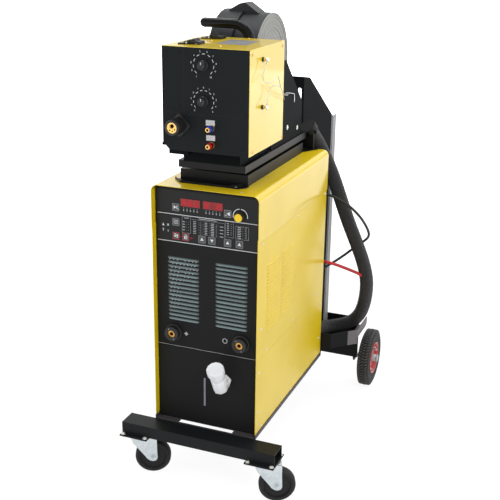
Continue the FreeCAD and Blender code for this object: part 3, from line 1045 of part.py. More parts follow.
def cords():
    """Hose sleeve, control cable, coolant hose and the two lanyards."""
    port_end = size("body_depth") + size("port_reach")
    name("hose_sleeve", tube("hose_sleeve", sleeve_route(), size("sleeve_width")))
    side_end, side_y = size("port_x") + size("elbow_reach"), size("body_depth") + size("elbow_off")
    cable = points((side_end, side_y, size("control_high_z"))) + behind(
        (12, 12, -178), (44, 15, -190), (76, 19, -208), (106, 24, -232), (132, 32, -262), (148, 48, -296),
        (152, 76, -328), (144, 108, -354), (126, 134, -378), (98, 148, -404), (66, 144, -432),
        (36, 126, -458), (6, 104, -480), (-20, 80, -496), (-35, 50, -504)) + points((size("port_x"), port_end, size("control_low_z")))
    name("control_cable", tube("control_cable", cable, size("cable_width")))
    hose = points((side_end - 6, side_y, size("return_z"))) + behind(
        (8, 12, -448), (40, 20, -456), (70, 36, -470), (98, 60, -488), (118, 88, -506), (128, 110, -524))
    name("coolant_hose", tube("coolant_hose", hose, size("hose_width")))
    skin = size("feeder_half")
    thread = size("lanyard_width")
    low = size("feeder_low")
    upper = tube("upper_lanyard", points(
        (skin + 16, 116, low + 280.4), (skin + 15, 107, low + 267), (skin + 14, 94, low + 252),
        (skin + 15, 81, low + 237), (skin + 20, 79, low + 223), (skin + 26, 98, low + 217), (skin + 29, 130, low + 217),
        (skin + 30, 154, low + 225), (skin + 29, 171, low + 235), (skin + 28, 186, low + 222), (skin + 26, 202, low + 205),
        (skin + 22, 224, low + 188), (skin + 18, 250, low + 169), (skin + 13, 284, low + 153), (skin + 5, 330, low + 143),
        (skin - 10, 396, low + 136), (size("bracket_x") + size("plate"), 420, low + 134)), thread)
    lower = tube("lower_lanyard", points(
        (skin + 16, 118, low + 144.6), (skin + 14, 124, low + 154), (skin + 11, 140, low + 170),
        (skin + 12, 151, low + 187), (skin + 17, 157, low + 199), (skin + 25, 170, low + 202), (skin + 29, 196, low + 195),
        (skin + 27, 222, low + 179), (skin + 22, 248, low + 161), (skin + 13, 280, low + 144), (skin + 2, 318, low + 131),
        (skin - 14, 352, low + 122), (size("bracket_x") + size("plate"), 366, low + 120)), thread)
    name("lanyards", together(upper, lower))


base_tray()
chassis_frame()
front_channel()
casters()
rear_axle()
rear_wheels()
rear_shelf()
rear_column()
cooler()
source_front()
controls()
case_screws()
case_rear()
platform()
swivel_tray()
feeder_frame()
feeder_cover()
feeder_door()
latches()
carry_handle()
feeder_front_fittings()
wire_drive()
spool()
cords()
doc.removeObject(probe.Name)
doc.recompute()

for thing in doc.Objects:
    if "Invalid" in thing.State or "Error" in thing.State:
        raise RuntimeError(f"{thing.Label} ({thing.Name}) failed: {thing.State}")
os.makedirs("parts", exist_ok=True)
for thing in subparts:
    if thing.Shape.isNull() or not thing.Shape.isValid():
        raise RuntimeError(f"{thing.Label} has no sound shape")
    thing.Shape.exportStep(os.path.join("parts", thing.Label + ".step"))
print(len(subparts), "sub-parts")
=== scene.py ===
import math

import bmesh
import bpy
from mathutils import Matrix, Vector


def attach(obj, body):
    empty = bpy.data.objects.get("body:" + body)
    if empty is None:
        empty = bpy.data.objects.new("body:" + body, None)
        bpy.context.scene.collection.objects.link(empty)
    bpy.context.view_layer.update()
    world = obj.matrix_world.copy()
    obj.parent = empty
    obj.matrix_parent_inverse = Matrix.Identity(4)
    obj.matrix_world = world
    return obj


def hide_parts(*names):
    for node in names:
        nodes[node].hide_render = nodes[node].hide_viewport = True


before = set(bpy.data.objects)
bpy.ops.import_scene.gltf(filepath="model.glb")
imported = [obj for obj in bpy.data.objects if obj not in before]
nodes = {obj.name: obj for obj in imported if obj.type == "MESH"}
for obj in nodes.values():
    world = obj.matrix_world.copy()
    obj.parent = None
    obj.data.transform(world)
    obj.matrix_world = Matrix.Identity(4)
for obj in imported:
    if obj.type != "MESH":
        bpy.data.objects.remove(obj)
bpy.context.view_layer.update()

# Camera. The cart was seen from its front right, a little above the wire feeder, from about
# three metres and through a long lens.
LIP = 0.492
EYE, YAW, PITCH, ROLL = (1.1821, -3.0816, 1.8264), 0.3847, -0.3305, 0.0111
SENSOR, LENS, SHIFT = 36, 67.41, (0.0149, -0.0004)


def place(x, y, z):
    """Metres in the frame from millimetres off the middle, the front lip and the floor."""
    return Vector((x / 1000, y / 1000 - LIP, z / 1000))


ahead = Vector((-math.sin(YAW) * math.cos(PITCH), math.cos(YAW) * math.cos(PITCH), math.sin(PITCH)))
level = Vector((math.cos(YAW), math.sin(YAW), 0))
upward = level.cross(ahead)
side = level * math.cos(ROLL) + upward * math.sin(ROLL)
crown = upward * math.cos(ROLL) - level * math.sin(ROLL)


def in_scene(name, data):
    """A thing of some data, put in the scene."""
    thing = bpy.data.objects.new(name, data)
    bpy.context.scene.collection.objects.link(thing)
    return thing


camera_data = bpy.data.cameras.new("camera")
camera_data.sensor_width, camera_data.lens, camera_data.clip_end = SENSOR, LENS, 60
camera_data.shift_x, camera_data.shift_y = SHIFT
camera = in_scene("camera", camera_data)
camera.matrix_world = Matrix((*((side[k], crown[k], -ahead[k], EYE[k]) for k in range(3)), (0, 0, 0, 1)))
bpy.context.scene.camera = camera
bpy.context.scene.view_settings.view_transform = "Standard"

# Hose sleeve. A black woven nylon sleeve round the hoses and cables between the feeder and the
# cooler; it is gripped by a cuff behind the platform and ends in a gland at the foot of the case.


class Signal:
    """A value in a tree of nodes. Sums and products of signals add Math nodes to that tree."""

    def __init__(self, bench, socket):
        self.bench, self.socket = bench, socket

    def maths(self, operation, other=0.0, swapped=False):
        first, second = (other, self) if swapped else (self, other)
        return self.bench.node("ShaderNodeMath", {"operation": operation}, {0: first, 1: second})

    def __add__(self, other):
        return self.maths("ADD", other)

    def __sub__(self, other):
        return self.maths("SUBTRACT", other)

    def __rsub__(self, other):
        return self.maths("SUBTRACT", other, swapped=True)

    def __mul__(self, other):
        return self.maths("MULTIPLY", other)

    def __truediv__(self, other):
        return self.maths("DIVIDE", other)

    def __abs__(self):
        return self.maths("ABSOLUTE")

    __radd__ = __add__

    def wave(self):
        return self.maths("SINE")

    def floor(self):
        return self.maths("FLOOR")

    def between(self, low, high):
        """0 below low, 1 above high, and a straight ramp from one to the other."""
        return self.bench.node("ShaderNodeMapRange", {"clamp": True}, {0: self, 1: low, 2: high})


class Bench:
    """A tree of nodes in the making."""

    def __init__(self, tree):
        self.tree = tree

    def node(self, kind, settings=None, inputs=None, output=0):
        """Add a node, then its settings, then the values or links of its sockets."""
        made = self.tree.nodes.new(kind)
        for key, value in (settings or {}).items():
            setattr(made, key, value)
        for key, value in (inputs or {}).items():
            if isinstance(value, Signal):
                self.tree.links.new(value.socket, made.inputs[key])
            else:
                made.inputs[key].default_value = value
        return Signal(self, made.outputs[output])


class Finish(Bench):
    """A material in the making, with the constants of its shader given by name."""

    def __init__(self, name, **constants):
        self.material = bpy.data.materials.new(name)
        self.material.use_nodes = True
        super().__init__(self.material.node_tree)
        self.shader = self.tree.nodes["Principled BSDF"]
        for key, value in constants.items():
            self.shader.inputs[key.replace("_", " ")].default_value = value
        self.spot = self.node("ShaderNodeTexCoord", output="Object")

    def noise(self, scale, detail=3.0, roughness=0.5, stretch=None):
        """Cloudy pattern from 0 to 1, on the piece itself."""
        spot = self.spot
        if stretch:
            spot = self.node("ShaderNodeMapping", inputs={"Vector": spot, "Scale": stretch})
        return self.node("ShaderNodeTexNoise", inputs={
            "Vector": spot, "Scale": scale, "Detail": detail, "Roughness": roughness})

    def along(self, axis):
        """Place on one axis, in metres."""
        return self.node("ShaderNodeSeparateXYZ", inputs={0: self.spot}, output=axis)

    def mix(self, share, first, second, how="MIX"):
        return self.node("ShaderNodeMix", {"data_type": "RGBA", "blend_type": how, "clamp_factor": True},
                         {0: share, 6: first, 7: second}, output=2)

    def relief(self, height, depth, rounding=0.0):
        """Bumps of a height signal over edges that look rounded."""
        under = {}
        if rounding:
            under = {"Normal": self.node("ShaderNodeBevel", {"samples": 4}, {"Radius": rounding})}
        return self.node("ShaderNodeBump", inputs={"Height": height, "Distance": depth, **under})

    def laid(self, **signals):
        """Join signals to the shader's sockets and hand over the material."""
        for key, value in signals.items():
            self.tree.links.new(value.socket, self.shader.inputs[key.replace("_", " ")])
        return self.material


def woven_nylon():
    """Diagonal basket weave of flat black yarn, paler on the crowns of the weave than between them, and a little
    dusty in patches.
    """
    cloth = Finish("sleeve_woven_nylon", Roughness=0.62, Specular_IOR_Level=0.35, Sheen_Weight=0.12,
                   Sheen_Roughness=0.5)
    lie = cloth.node("ShaderNodeUVMap", {"uv_map": "lie"})
    around = cloth.node("ShaderNodeSeparateXYZ", inputs={0: lie}, output="X") * 96 * math.pi
    down = cloth.node("ShaderNodeSeparateXYZ", inputs={0: lie}, output="Y") * 560 * math.pi
    yarn = (around + down).wave() * (around - down).wave()
    ends = cloth.noise(14, 4)
    colour = cloth.mix((yarn + 1) / 2, (0.004, 0.004, 0.005, 1), (0.016, 0.016, 0.018, 1))
    colour = cloth.mix(ends.between(0.5, 0.8) * 0.5, colour, (0.026, 0.026, 0.027, 1))
    return cloth.laid(Base_Color=colour, Roughness=0.5 + ends * 0.25, Normal=cloth.relief(yarn, 0.0006))


def curve_places(name, *route):
    """Places along a smooth curve that has the route's points as its control points."""
    data = bpy.data.curves.new(name, "CURVE")
    data.dimensions = "3D"
    data.resolution_u = 14
    spline = data.splines.new("NURBS")
    spline.points.add(len(route) - 1)
    for point, spot in zip(spline.points, route):
        point.co = (*spot, 1)
    spline.order_u = 3
    spline.use_endpoint_u = True
    thread = bpy.data.objects.new(name, data)
    line = bpy.data.meshes.new_from_object(thread)
    spots = [vertex.co.copy() for vertex in line.vertices]
    bpy.data.objects.remove(thread)
    bpy.data.meshes.remove(line)
    return spots


def frames_along(spots):
    """A turning-free pair of side directions at each place of a line."""
    aims = [(spots[min(i + 1, len(spots) - 1)] - spots[max(i - 1, 0)]).normalized() for i in range(len(spots))]
    first = aims[0].cross(Vector((0.3, 0.2, 1))).normalized()
    pairs = []
    for aim in aims:
        first = (first - aim * first.dot(aim)).normalized()
        pairs.append((first, aim.cross(first)))
    return pairs


def crease(mesh, degrees=35):
    """Smooth shading, with sharp edges where two faces meet at more than an angle."""
    mesh.polygons.foreach_set("use_smooth", [True] * len(mesh.polygons))
    mesh.set_sharp_from_angle(angle=math.radians(degrees))


def kept(name, mesh, finish, body, stands_for=()):
    """Make a mesh in frame metres a piece that rides on a body."""
    thing = in_scene(name, mesh)
    if finish:
        mesh.materials.clear()
        mesh.materials.append(finish)
    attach(thing, body)
    if stands_for:
        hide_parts(*stands_for)
    return thing


def tube_mesh(name, spots, width, sides=20, swell=None):
    """Round tube along a line, closed at its ends, with turn and metres in its map."""
    mesh = bpy.data.meshes.new(name)
    verts, faces, lies = [], [], []
    gone = 0.0
    for i, (spot, (first, second)) in enumerate(zip(spots, frames_along(spots))):
        gone += (spot - spots[i - 1]).length if i else 0
        for k in range(sides):
            turn = 2 * math.pi * k / sides
            radius = width / 2 * (swell(gone, turn) if swell else 1)
            verts.append(spot + (first * math.cos(turn) + second * math.sin(turn)) * radius)
            lies.append(gone)
    for i in range(len(spots) - 1):
        for k in range(sides):
            n = (k + 1) % sides
            faces.append((i * sides + k, i * sides + n, (i + 1) * sides + n, (i + 1) * sides + k))
    last = (len(spots) - 1) * sides
    faces += [tuple(reversed(range(sides))), tuple(range(last, last + sides))]
    mesh.from_pydata(verts, [], faces)
    chart = mesh.uv_layers.new(name="lie")
    for polygon in mesh.polygons:
        for index in polygon.loop_indices:
            vertex = mesh.loops[index].vertex_index
            k = vertex % sides
            seam = k == 0 and any(mesh.loops[j].vertex_index % sides == sides - 1 for j in polygon.loop_indices)
            chart.data[index].uv = ((sides if seam else k) / sides, lies[vertex])
    crease(mesh, 60)
    return mesh


SLEEVE_WIDTH, CABLE_WIDTH, HOSE_WIDTH, ROPE_WIDTH, CRIMP_WIDTH = 0.054, 0.01, 0.012, 0.0021, 0.0042
sleeve_line = curve_places(
    "sleeve_line", (0.112, 0.22, 1.118), (0.128, 0.258, 1.074), (0.152, 0.278, 1.016), (0.182, 0.294, 0.946),
    (0.214, 0.305, 0.854), (0.246, 0.314, 0.76), (0.281, 0.324, 0.672), (0.312, 0.338, 0.586),
    (0.329, 0.35, 0.508), (0.326, 0.364, 0.44), (0.316, 0.376, 0.384), (0.298, 0.388, 0.334),
    (0.266, 0.392, 0.296), (0.224, 0.384, 0.278), (0.184, 0.356, 0.276), (0.157, 0.31, 0.283),
    (0.148, 0.242, 0.288))


def hose_bulge(gone, turn):
    """The hoses inside press slow ridges into the sleeve, and it puckers a little in its bends."""
    ridges = 0.018 * math.cos(3 * turn + 5 * gone) + 0.012 * math.sin(5 * turn - 9 * gone)
    return 0.985 + ridges + 0.008 * math.sin(gone * 240 + 2 * math.sin(turn))


kept("hose_sleeve_cloth", tube_mesh("hose_sleeve_cloth", sleeve_line, SLEEVE_WIDTH, 48, hose_bulge),
     woven_nylon(), "cart", ["hose_sleeve"])

# Control cable and coolant hose. A black rubber control cable runs from the feeder socket in a
# loop down to the cooler's socket, and a red rubber hose joins the sleeve from its nipple.


def smooth_rubber(name, colour, roughness=0.45):
    """Extruded rubber: fine drag lines along it and a dull bloom in patches."""
    rubber = Finish(name, Specular_IOR_Level=0.4)
    bloom = rubber.noise(22, 4)
    grain = rubber.noise(900, 2)
    pale = tuple(min(1, c * 1.8 + 0.012) for c in colour[:3]) + (1,)
    return rubber.laid(Base_Color=rubber.mix(bloom.between(0.45, 0.8) * 0.6, colour, pale),
                       Roughness=roughness + bloom * 0.2, Normal=rubber.relief(grain, 0.0001))


black_rubber = smooth_rubber("cable_black_rubber", (0.008, 0.008, 0.009, 1))
cable_line = curve_places(
    "cable_line", (0.172, 0.235, 0.872), (0.2, 0.236, 0.868), (0.232, 0.239, 0.856), (0.264, 0.243, 0.838),
    (0.294, 0.248, 0.814), (0.32, 0.256, 0.784), (0.336, 0.272, 0.75), (0.34, 0.3, 0.718), (0.332, 0.332, 0.692),
    (0.314, 0.358, 0.668), (0.286, 0.372, 0.642), (0.254, 0.368, 0.614), (0.224, 0.35, 0.588), (0.194, 0.328, 0.566),
    (0.168, 0.304, 0.55), (0.153, 0.274, 0.542), (0.15, 0.242, 0.54))
kept("control_cable_jacket", tube_mesh("control_cable_jacket", cable_line, CABLE_WIDTH, 16), black_rubber, "cart",
     ["control_cable"])
hose_line = curve_places(
    "hose_line", (0.166, 0.235, 0.6), (0.196, 0.236, 0.598), (0.228, 0.244, 0.59), (0.258, 0.26, 0.576),
    (0.286, 0.284, 0.558), (0.306, 0.312, 0.54), (0.316, 0.334, 0.522))
kept("coolant_hose_red", tube_mesh("coolant_hose_red", hose_line, HOSE_WIDTH, 18),
     smooth_rubber("hose_red_rubber", (0.42, 0.012, 0.014, 1), 0.35), "cart", ["coolant_hose"])

# Lanyards. Two thin ropes of twisted steel wire keep the protective plugs of the side sockets
# from getting lost; each is crimped at both ends.


def plated(name, colour, roughness=0.32, grain=260.0, depth=0.00006, rounding=0.0006, stain=None):
    """Bare or plated metal: brushed or spangled tone, finger marks, softened edges."""
    metal = Finish(name, Metallic=1.0)
    spangle = metal.node("ShaderNodeTexVoronoi", {"feature": "F1"},
                         {"Vector": metal.spot, "Scale": grain}, output="Color")
    tone = metal.node("ShaderNodeSeparateXYZ", inputs={0: spangle}, output="X")
    smear = metal.noise(35, 5)
    dark = tuple(c * 0.72 for c in colour[:3]) + (1,)
    shade = metal.mix(tone * 0.35 + smear.between(0.45, 0.75) * 0.3, colour, stain or dark)
    return metal.laid(Base_Color=shade, Roughness=roughness + smear * 0.18 + tone * 0.05,
                      Normal=metal.relief(tone + smear, depth, rounding))


def rope_mesh(name, spots, width, strands=6, lay=0.011):
    """Strands wound round a line as in wire rope."""
    mesh = bmesh.new()
    fine = []
    for start, end in zip(spots, spots[1:]):
        steps = max(1, round((end - start).length / 0.0012))
        fine += [start.lerp(end, k / steps) for k in range(steps)]
    fine.append(spots[-1])
    pairs = frames_along(fine)
    for strand in range(strands + 1):
        gone, rings = 0.0, []
        for i, (spot, (first, second)) in enumerate(zip(fine, pairs)):
            gone += (spot - fine[i - 1]).length if i else 0
            swing = 2 * math.pi * (strand / strands + gone / lay)
            off = 0.0 if strand == strands else width * 0.33
            centre = spot + (first * math.cos(swing) + second * math.sin(swing)) * off
            rings.append([mesh.verts.new(centre + (first * math.cos(t) + second * math.sin(t)) * width * 0.17)
                          for t in (math.pi * k / 2.5 for k in range(5))])
        for near, far in zip(rings, rings[1:]):
            for k in range(5):
                mesh.faces.new((near[k], near[(k + 1) % 5], far[(k + 1) % 5], far[k]))
        mesh.faces.new(list(reversed(rings[0])))
        mesh.faces.new(rings[-1])
    bmesh.ops.recalc_face_normals(mesh, faces=mesh.faces)
    made = bpy.data.meshes.new(name)
    mesh.to_mesh(made)
    mesh.free()
    crease(made, 70)
    return made


bright_wire = plated("lanyard_wire", (0.72, 0.71, 0.72, 1), 0.3, 1500)
upper_line = curve_places(
    "upper_line",
    (0.162, -0.376, 1.4434), (0.161, -0.385, 1.43), (0.16, -0.398, 1.415), (0.161, -0.411, 1.4),
    (0.166, -0.413, 1.386), (0.172, -0.394, 1.38), (0.175, -0.362, 1.38), (0.176, -0.338, 1.388),
    (0.175, -0.321, 1.398), (0.174, -0.306, 1.385), (0.172, -0.29, 1.368), (0.168, -0.268, 1.351),
    (0.164, -0.242, 1.332), (0.159, -0.208, 1.316), (0.151, -0.162, 1.306), (0.136, -0.096, 1.299),
    (0.107, -0.072, 1.297))
lower_line = curve_places(
    "lower_line",
    (0.162, -0.374, 1.3076), (0.16, -0.368, 1.317), (0.157, -0.352, 1.333), (0.158, -0.341, 1.35),
    (0.163, -0.335, 1.362), (0.171, -0.322, 1.365), (0.175, -0.296, 1.358), (0.173, -0.27, 1.342),
    (0.168, -0.244, 1.324), (0.159, -0.212, 1.307), (0.148, -0.174, 1.294), (0.132, -0.14, 1.285),
    (0.107, -0.126, 1.283))
for word, line in (("upper", upper_line), ("lower", lower_line)):
    kept(f"{word}_lanyard_rope", rope_mesh(f"{word}_lanyard_rope", line, ROPE_WIDTH), bright_wire, "feeder",
         ["lanyards"] if word == "upper" else ())
    for end, spots in (("plug", line[2:5]), ("frame", line[-5:-2])):
        kept(f"{word}_{end}_crimp", tube_mesh(f"{word}_{end}_crimp", spots, CRIMP_WIDTH, 12), bright_wire,
             "feeder")

# Studio. A pale floor under the cart, wide soft lamps, and white all round for the camera and
# for what glossy paint reflects.


def seen_white(bench):
    """1 for what the camera, a reflection or glass sees, 0 for light that falls on things."""
    path = bench.tree.nodes.new("ShaderNodeLightPath")
    rays = [Signal(bench, path.outputs[f"Is {kind} Ray"]) for kind in ("Camera", "Glossy", "Transmission")]
    return rays[0].maths("MAXIMUM", rays[1].maths("MAXIMUM", rays[2]))


floor_mesh = bpy.data.meshes.new("studio_floor")
floor_mesh.from_pydata([(-40, -40, 0), (40, -40, 0), (40, 40, 0), (-40, 40, 0)], [], [(0, 1, 2, 3)])
floor = in_scene("studio_floor", floor_mesh)
paper = Finish("studio_paper", Base_Color=(0.8, 0.8, 0.8, 1), Roughness=0.9, Specular_IOR_Level=0.0)
east, north = paper.along("X"), paper.along("Y")
far = (east * east + north * north).maths("SQRT").between(1.2, 8.0)
glow = paper.node("ShaderNodeEmission", inputs={
    "Color": paper.mix(far, (0.9, 0.9, 0.9, 1), (2.4, 2.4, 2.4, 1)), "Strength": 1.0})
soft = paper.node("ShaderNodeBsdfDiffuse", inputs={"Color": (0.2, 0.2, 0.2, 1)})
shown = paper.node("ShaderNodeAddShader", inputs={0: glow, 1: soft})
sheet = paper.node("ShaderNodeMixShader", inputs={
    0: seen_white(paper), 1: Signal(paper, paper.shader.outputs[0]), 2: shown})
paper.tree.links.new(sheet.socket, paper.tree.nodes["Material Output"].inputs["Surface"])
floor_mesh.materials.append(paper.material)

screen_mesh = bpy.data.meshes.new("studio_screen")
screen_mesh.from_pydata([(-16, 9, 0), (16, 9, 0), (16, 9, 8), (-16, 9, 8)], [], [(0, 1, 2, 3)])
screen = in_scene("studio_screen", screen_mesh)
screen.visible_diffuse = screen.visible_shadow = screen.visible_camera = False
white = Finish("studio_screen_white", Base_Color=(0, 0, 0, 1), Emission_Strength=1.0)
rise = white.along("Z")
screen_mesh.materials.append(white.laid(Emission_Color=white.mix(
    rise.between(2.7, 3.3) + rise.between(1.6, 1.0), (0.8, 0.8, 0.8, 1), (1.7, 1.7, 1.7, 1))))

world = bpy.data.worlds.new("studio")
bpy.context.scene.world = world
world.use_nodes = True
sky = Bench(world.node_tree)
world.node_tree.nodes["Background"].inputs["Color"].default_value = (1, 1, 1, 1)
strength = 0.55 + seen_white(sky) * 0.45
world.node_tree.links.new(strength.socket, world.node_tree.nodes["Background"].inputs["Strength"])



def lamp(name, spot, watts, shape, *size):
    """A soft area lamp that points down until it is turned."""
    data = bpy.data.lights.new(name, "AREA")
    data.shape, data.energy = shape, watts
    for side_name, metres in zip(("size", "size_y"), size):
        setattr(data, side_name, metres)
    thing = in_scene(name, data)
    thing.location = spot
    return thing


for name, spot, aim, width, watts in (
        ("key_lamp", (2.6, -2.6, 3.2), (0, 0, 0.8), 2.4, 66), ("fill_lamp", (-3.2, -2.4, 2.2), (0, 0, 0.7), 2.6, 30),
        ("top_lamp", (0.2, 0.4, 4.2), (0, 0, 0), 3.0, 54), ("rear_lamp", (1.4, 3.4, 2.6), (0, 0, 0.8), 2.4, 20)):
    soft_lamp = lamp(name, spot, watts, "DISK", width)
    soft_lamp.visible_glossy = False
    soft_lamp.rotation_euler = (Vector(aim) - Vector(spot)).to_track_quat("-Z", "Y").to_euler()
for name, spot, turn, watts in (("strip_lamp_high", (-0.2, 0.3, 4.0), (0, 0, 0), 55),
                                ("strip_lamp_side", (3.4, -0.9, 1.9), (0, math.pi / 2, 0), 40)):
    strip = lamp(name, spot, watts, "RECTANGLE", 3.0, 0.5)
    strip.visible_diffuse, strip.rotation_euler = False, turn

# Base tray and front channel. Folded steel sheet, black powder coat on the channel and a dark
# grey one on the tray; both are bolted under the case and carry the casters.


def powder_coat(name, colour, roughness=0.4, gloss=0.3, coat=0.0, dust=0.5, peel=0.00005, rounding=0.0012,
                mirror=0.03, band=None):
    """Baked powder paint: orange peel, clouding, dust, edges lightened as rubbed wear and as a painted highlight; a
    band off the middle may take another tone.
    """
    paint = Finish(name, Specular_IOR_Level=gloss, Coat_Weight=coat, Coat_Roughness=mirror)
    skin, cloud, specks = paint.noise(260, 2), paint.noise(5, 4), paint.noise(75, 8, 0.7)
    dull = tuple(c * 0.8 + 0.006 for c in colour[:3]) + (1,)
    dust_wear_and_highlight_tone = tuple(min(1, c * 1.35 + 0.012) for c in colour[:3]) + (1,)
    facing = paint.node("ShaderNodeNewGeometry", output="Normal")
    soft_edge = paint.node("ShaderNodeBevel", {"samples": 4}, {"Radius": rounding})
    edge = 1 - paint.node("ShaderNodeVectorMath", {"operation": "DOT_PRODUCT"}, {0: facing, 1: soft_edge}, "Value")
    # Edges are lightened partly as rubbed-through paint and partly as a painted highlight.
    rubbed_and_highlit_edges = edge.between(0.02, 0.25) * specks.between(0.35, 0.6)
    shade = paint.mix(cloud.between(0.4, 0.75) * 0.35, colour, dull)
    shade = paint.mix(specks.between(0.62, 0.8) * dust * 0.3, shade, dust_wear_and_highlight_tone)
    shade = paint.mix(rubbed_and_highlit_edges * 0.7, shade, dust_wear_and_highlight_tone)
    if band:
        off, tone, outside, back = band
        share = abs(paint.along("X")).between(off - 0.00002, off + 0.00002)
        share = (share if outside else 1 - share) * paint.along("Y").between(back, back + 0.0005)
        shade = paint.mix(share, shade, tone)
    return paint.laid(Base_Color=shade, Roughness=roughness + cloud * 0.12 - rubbed_and_highlit_edges * 0.1,
                      Normal=paint.node("ShaderNodeBump", inputs={
                          "Height": skin + specks * 0.3, "Distance": peel, "Normal": soft_edge}))


def dressed(finish, *names):
    """Lay a finish on CAD nodes."""
    for name in names:
        for slot in nodes[name].material_slots:
            slot.material = finish


black_coat = powder_coat("case_black_coat", (0.007, 0.007, 0.007, 1), 0.42, 0.2)
channel_coat = powder_coat("channel_black_coat", (0.0075, 0.0085, 0.0095, 1), 0.42, 0.16, 0.0, 0.3)
tray_coat = powder_coat("tray_grey_coat", (0.055, 0.05, 0.055, 1), 0.45, 0.3)
matt_coat = powder_coat("bracket_matt_coat", (0.0042, 0.0055, 0.0063, 1), 0.6, 0.05, 0.0, 0.15)
dressed(tray_coat, "base_tray")
dressed(channel_coat, "front_channel", "chassis_frame")



def around(a, b, radius, count, start=0.0, step=None):
    """Places round a middle at even steps, by default the whole way round."""
    step = step or 2 * math.pi / count
    return [(a + radius * math.cos(start + step * k), b + radius * math.sin(start + step * k)) for k in range(count)]


class Form:
    """A piece in the making, in millimetres off the middle, the front lip and the floor."""

    def __init__(self, about=False):
        self.mesh = bmesh.new()
        self.about = about

    @staticmethod
    def spot(axis, along, a, b):
        return Vector({"x": (along, a, b), "y": (a, along, b), "z": (a, b, along)}[axis])

    def loft(self, rings, closed=False):
        """Skin over rings of places that have the same count, with its ends capped or joined."""
        rings = [[self.mesh.verts.new(spot) for spot in ring] for ring in rings]
        count = len(rings[0])
        pairs = list(zip(rings, rings[1:])) + ([(rings[-1], rings[0])] if closed else [])
        for near, far in pairs:
            for k in range(count):
                n = (k + 1) % count
                self.mesh.faces.new((near[k], near[n], far[n], far[k]))
        if not closed:
            self.mesh.faces.new(list(reversed(rings[0])))
            self.mesh.faces.new(rings[-1])
        return self

    def prism(self, axis, low, high, outline):
        """Outline across an axis, as thick as from low to high."""
        return self.loft([[self.spot(axis, along, a, b) for a, b in outline] for along in (low, high)])

    def block(self, x0, x1, y0, y1, z0, z1):
        return self.prism("z", z0, z1, [(x0, y0), (x1, y0), (x1, y1), (x0, y1)])

    def turned(self, axis, a, b, outline, count=48, wave=None):
        """Closed outline of (radius, along) turned about an axis through a, b."""
        rings = []
        for radius, along in outline:
            ring = []
            for k in range(count):
                turn = 2 * math.pi * k / count
                r = max(radius, 1e-4) * (wave(turn, radius, along) if wave else 1)
                ring.append(self.spot(axis, along, a + r * math.cos(turn), b + r * math.sin(turn)))
            rings.append(ring)
        return self.loft(rings, closed=True)

    def hexagon(self, axis, low, high, a, b, radius, turn=0.0):
        return self.prism(axis, low, high, around(a, b, radius, 6, turn))

    def turn(self, rotation, centre, moved=(0, 0, 0)):
        """Turn all that is there about a place, then move it."""
        middle = Vector(centre)
        for vertex in self.mesh.verts:
            vertex.co = rotation @ (vertex.co - middle) + middle
            vertex.co += Vector(moved)
        return self

    def made(self, name, bevel=0.0, degrees=35):
        """Clean mesh in metres; about its own origin where it is an element of a pattern."""
        bmesh.ops.remove_doubles(self.mesh, verts=self.mesh.verts, dist=0.002)
        bmesh.ops.dissolve_degenerate(self.mesh, edges=self.mesh.edges, dist=0.001)
        bmesh.ops.recalc_face_normals(self.mesh, faces=self.mesh.faces)
        for vertex in self.mesh.verts:
            vertex.co = vertex.co / 1000 if self.about else place(*vertex.co)
        mesh = bpy.data.meshes.new(name)
        self.mesh.to_mesh(mesh)
        self.mesh.free()
        if bevel:
            mesh = rounded(name, mesh, bevel)
        crease(mesh, degrees)
        return mesh

    def piece(self, name, finish, body, slot, stands_for=(), bevel=0.0, degrees=35):
        return kept(name, self.made(name, bevel, degrees), finish, body, stands_for)


def settled(thing):
    """Plain mesh of a thing as its modifiers leave it; the thing itself goes."""
    bpy.context.view_layer.update()
    shaped = thing.evaluated_get(bpy.context.evaluated_depsgraph_get())
    mesh = bpy.data.meshes.new_from_object(shaped)
    before = thing.data
    bpy.data.objects.remove(thing)
    bpy.data.meshes.remove(before)
    return mesh


def rounded(name, mesh, width, segments=2):
    """Mesh with its sharp edges bevelled, width in millimetres."""
    thing = in_scene(name, mesh)
    edge = thing.modifiers.new("edge", "BEVEL")
    edge.width, edge.segments, edge.limit_method, edge.angle_limit = width / 1000, segments, "ANGLE", 0.6
    edge.use_clamp_overlap = True
    return settled(thing)


# Casters. Zinc-plated pressed forks on a ball race under each end of the channel, with solid
# black rubber wheels; each top plate is held by four bolts.
zinc = plated("fork_zinc", (0.62, 0.66, 0.68, 1), 0.34, 90, 0.00005, 0.0012, (0.45, 0.50, 0.54, 1))
bolt_zinc = plated("bolt_zinc", (0.74, 0.73, 0.69, 1), 0.28, 300, 0.00003, 0.0004)


def worn_rubber(name, colour=(0.010, 0.010, 0.011, 1)):
    """Solid wheel rubber: scuffed grey where it rolls, with moulding rings and small pits."""
    rubber = Finish(name, Specular_IOR_Level=0.3)
    scuff, pits = rubber.noise(28, 6, 0.65), rubber.noise(420, 3)
    shade = rubber.mix(scuff.between(0.48, 0.75) * 0.55, colour, (0.034, 0.033, 0.033, 1))
    return rubber.laid(Base_Color=shade, Roughness=0.52 + scuff * 0.3,
                       Normal=rubber.relief(pits + scuff * 0.5, 0.00012, 0.0015))


def counted(base, sign, *outline):
    """Outline of (radius, along) whose along counts from a base, forwards or backwards."""
    return [(radius, base + sign * along) for radius, along in outline]


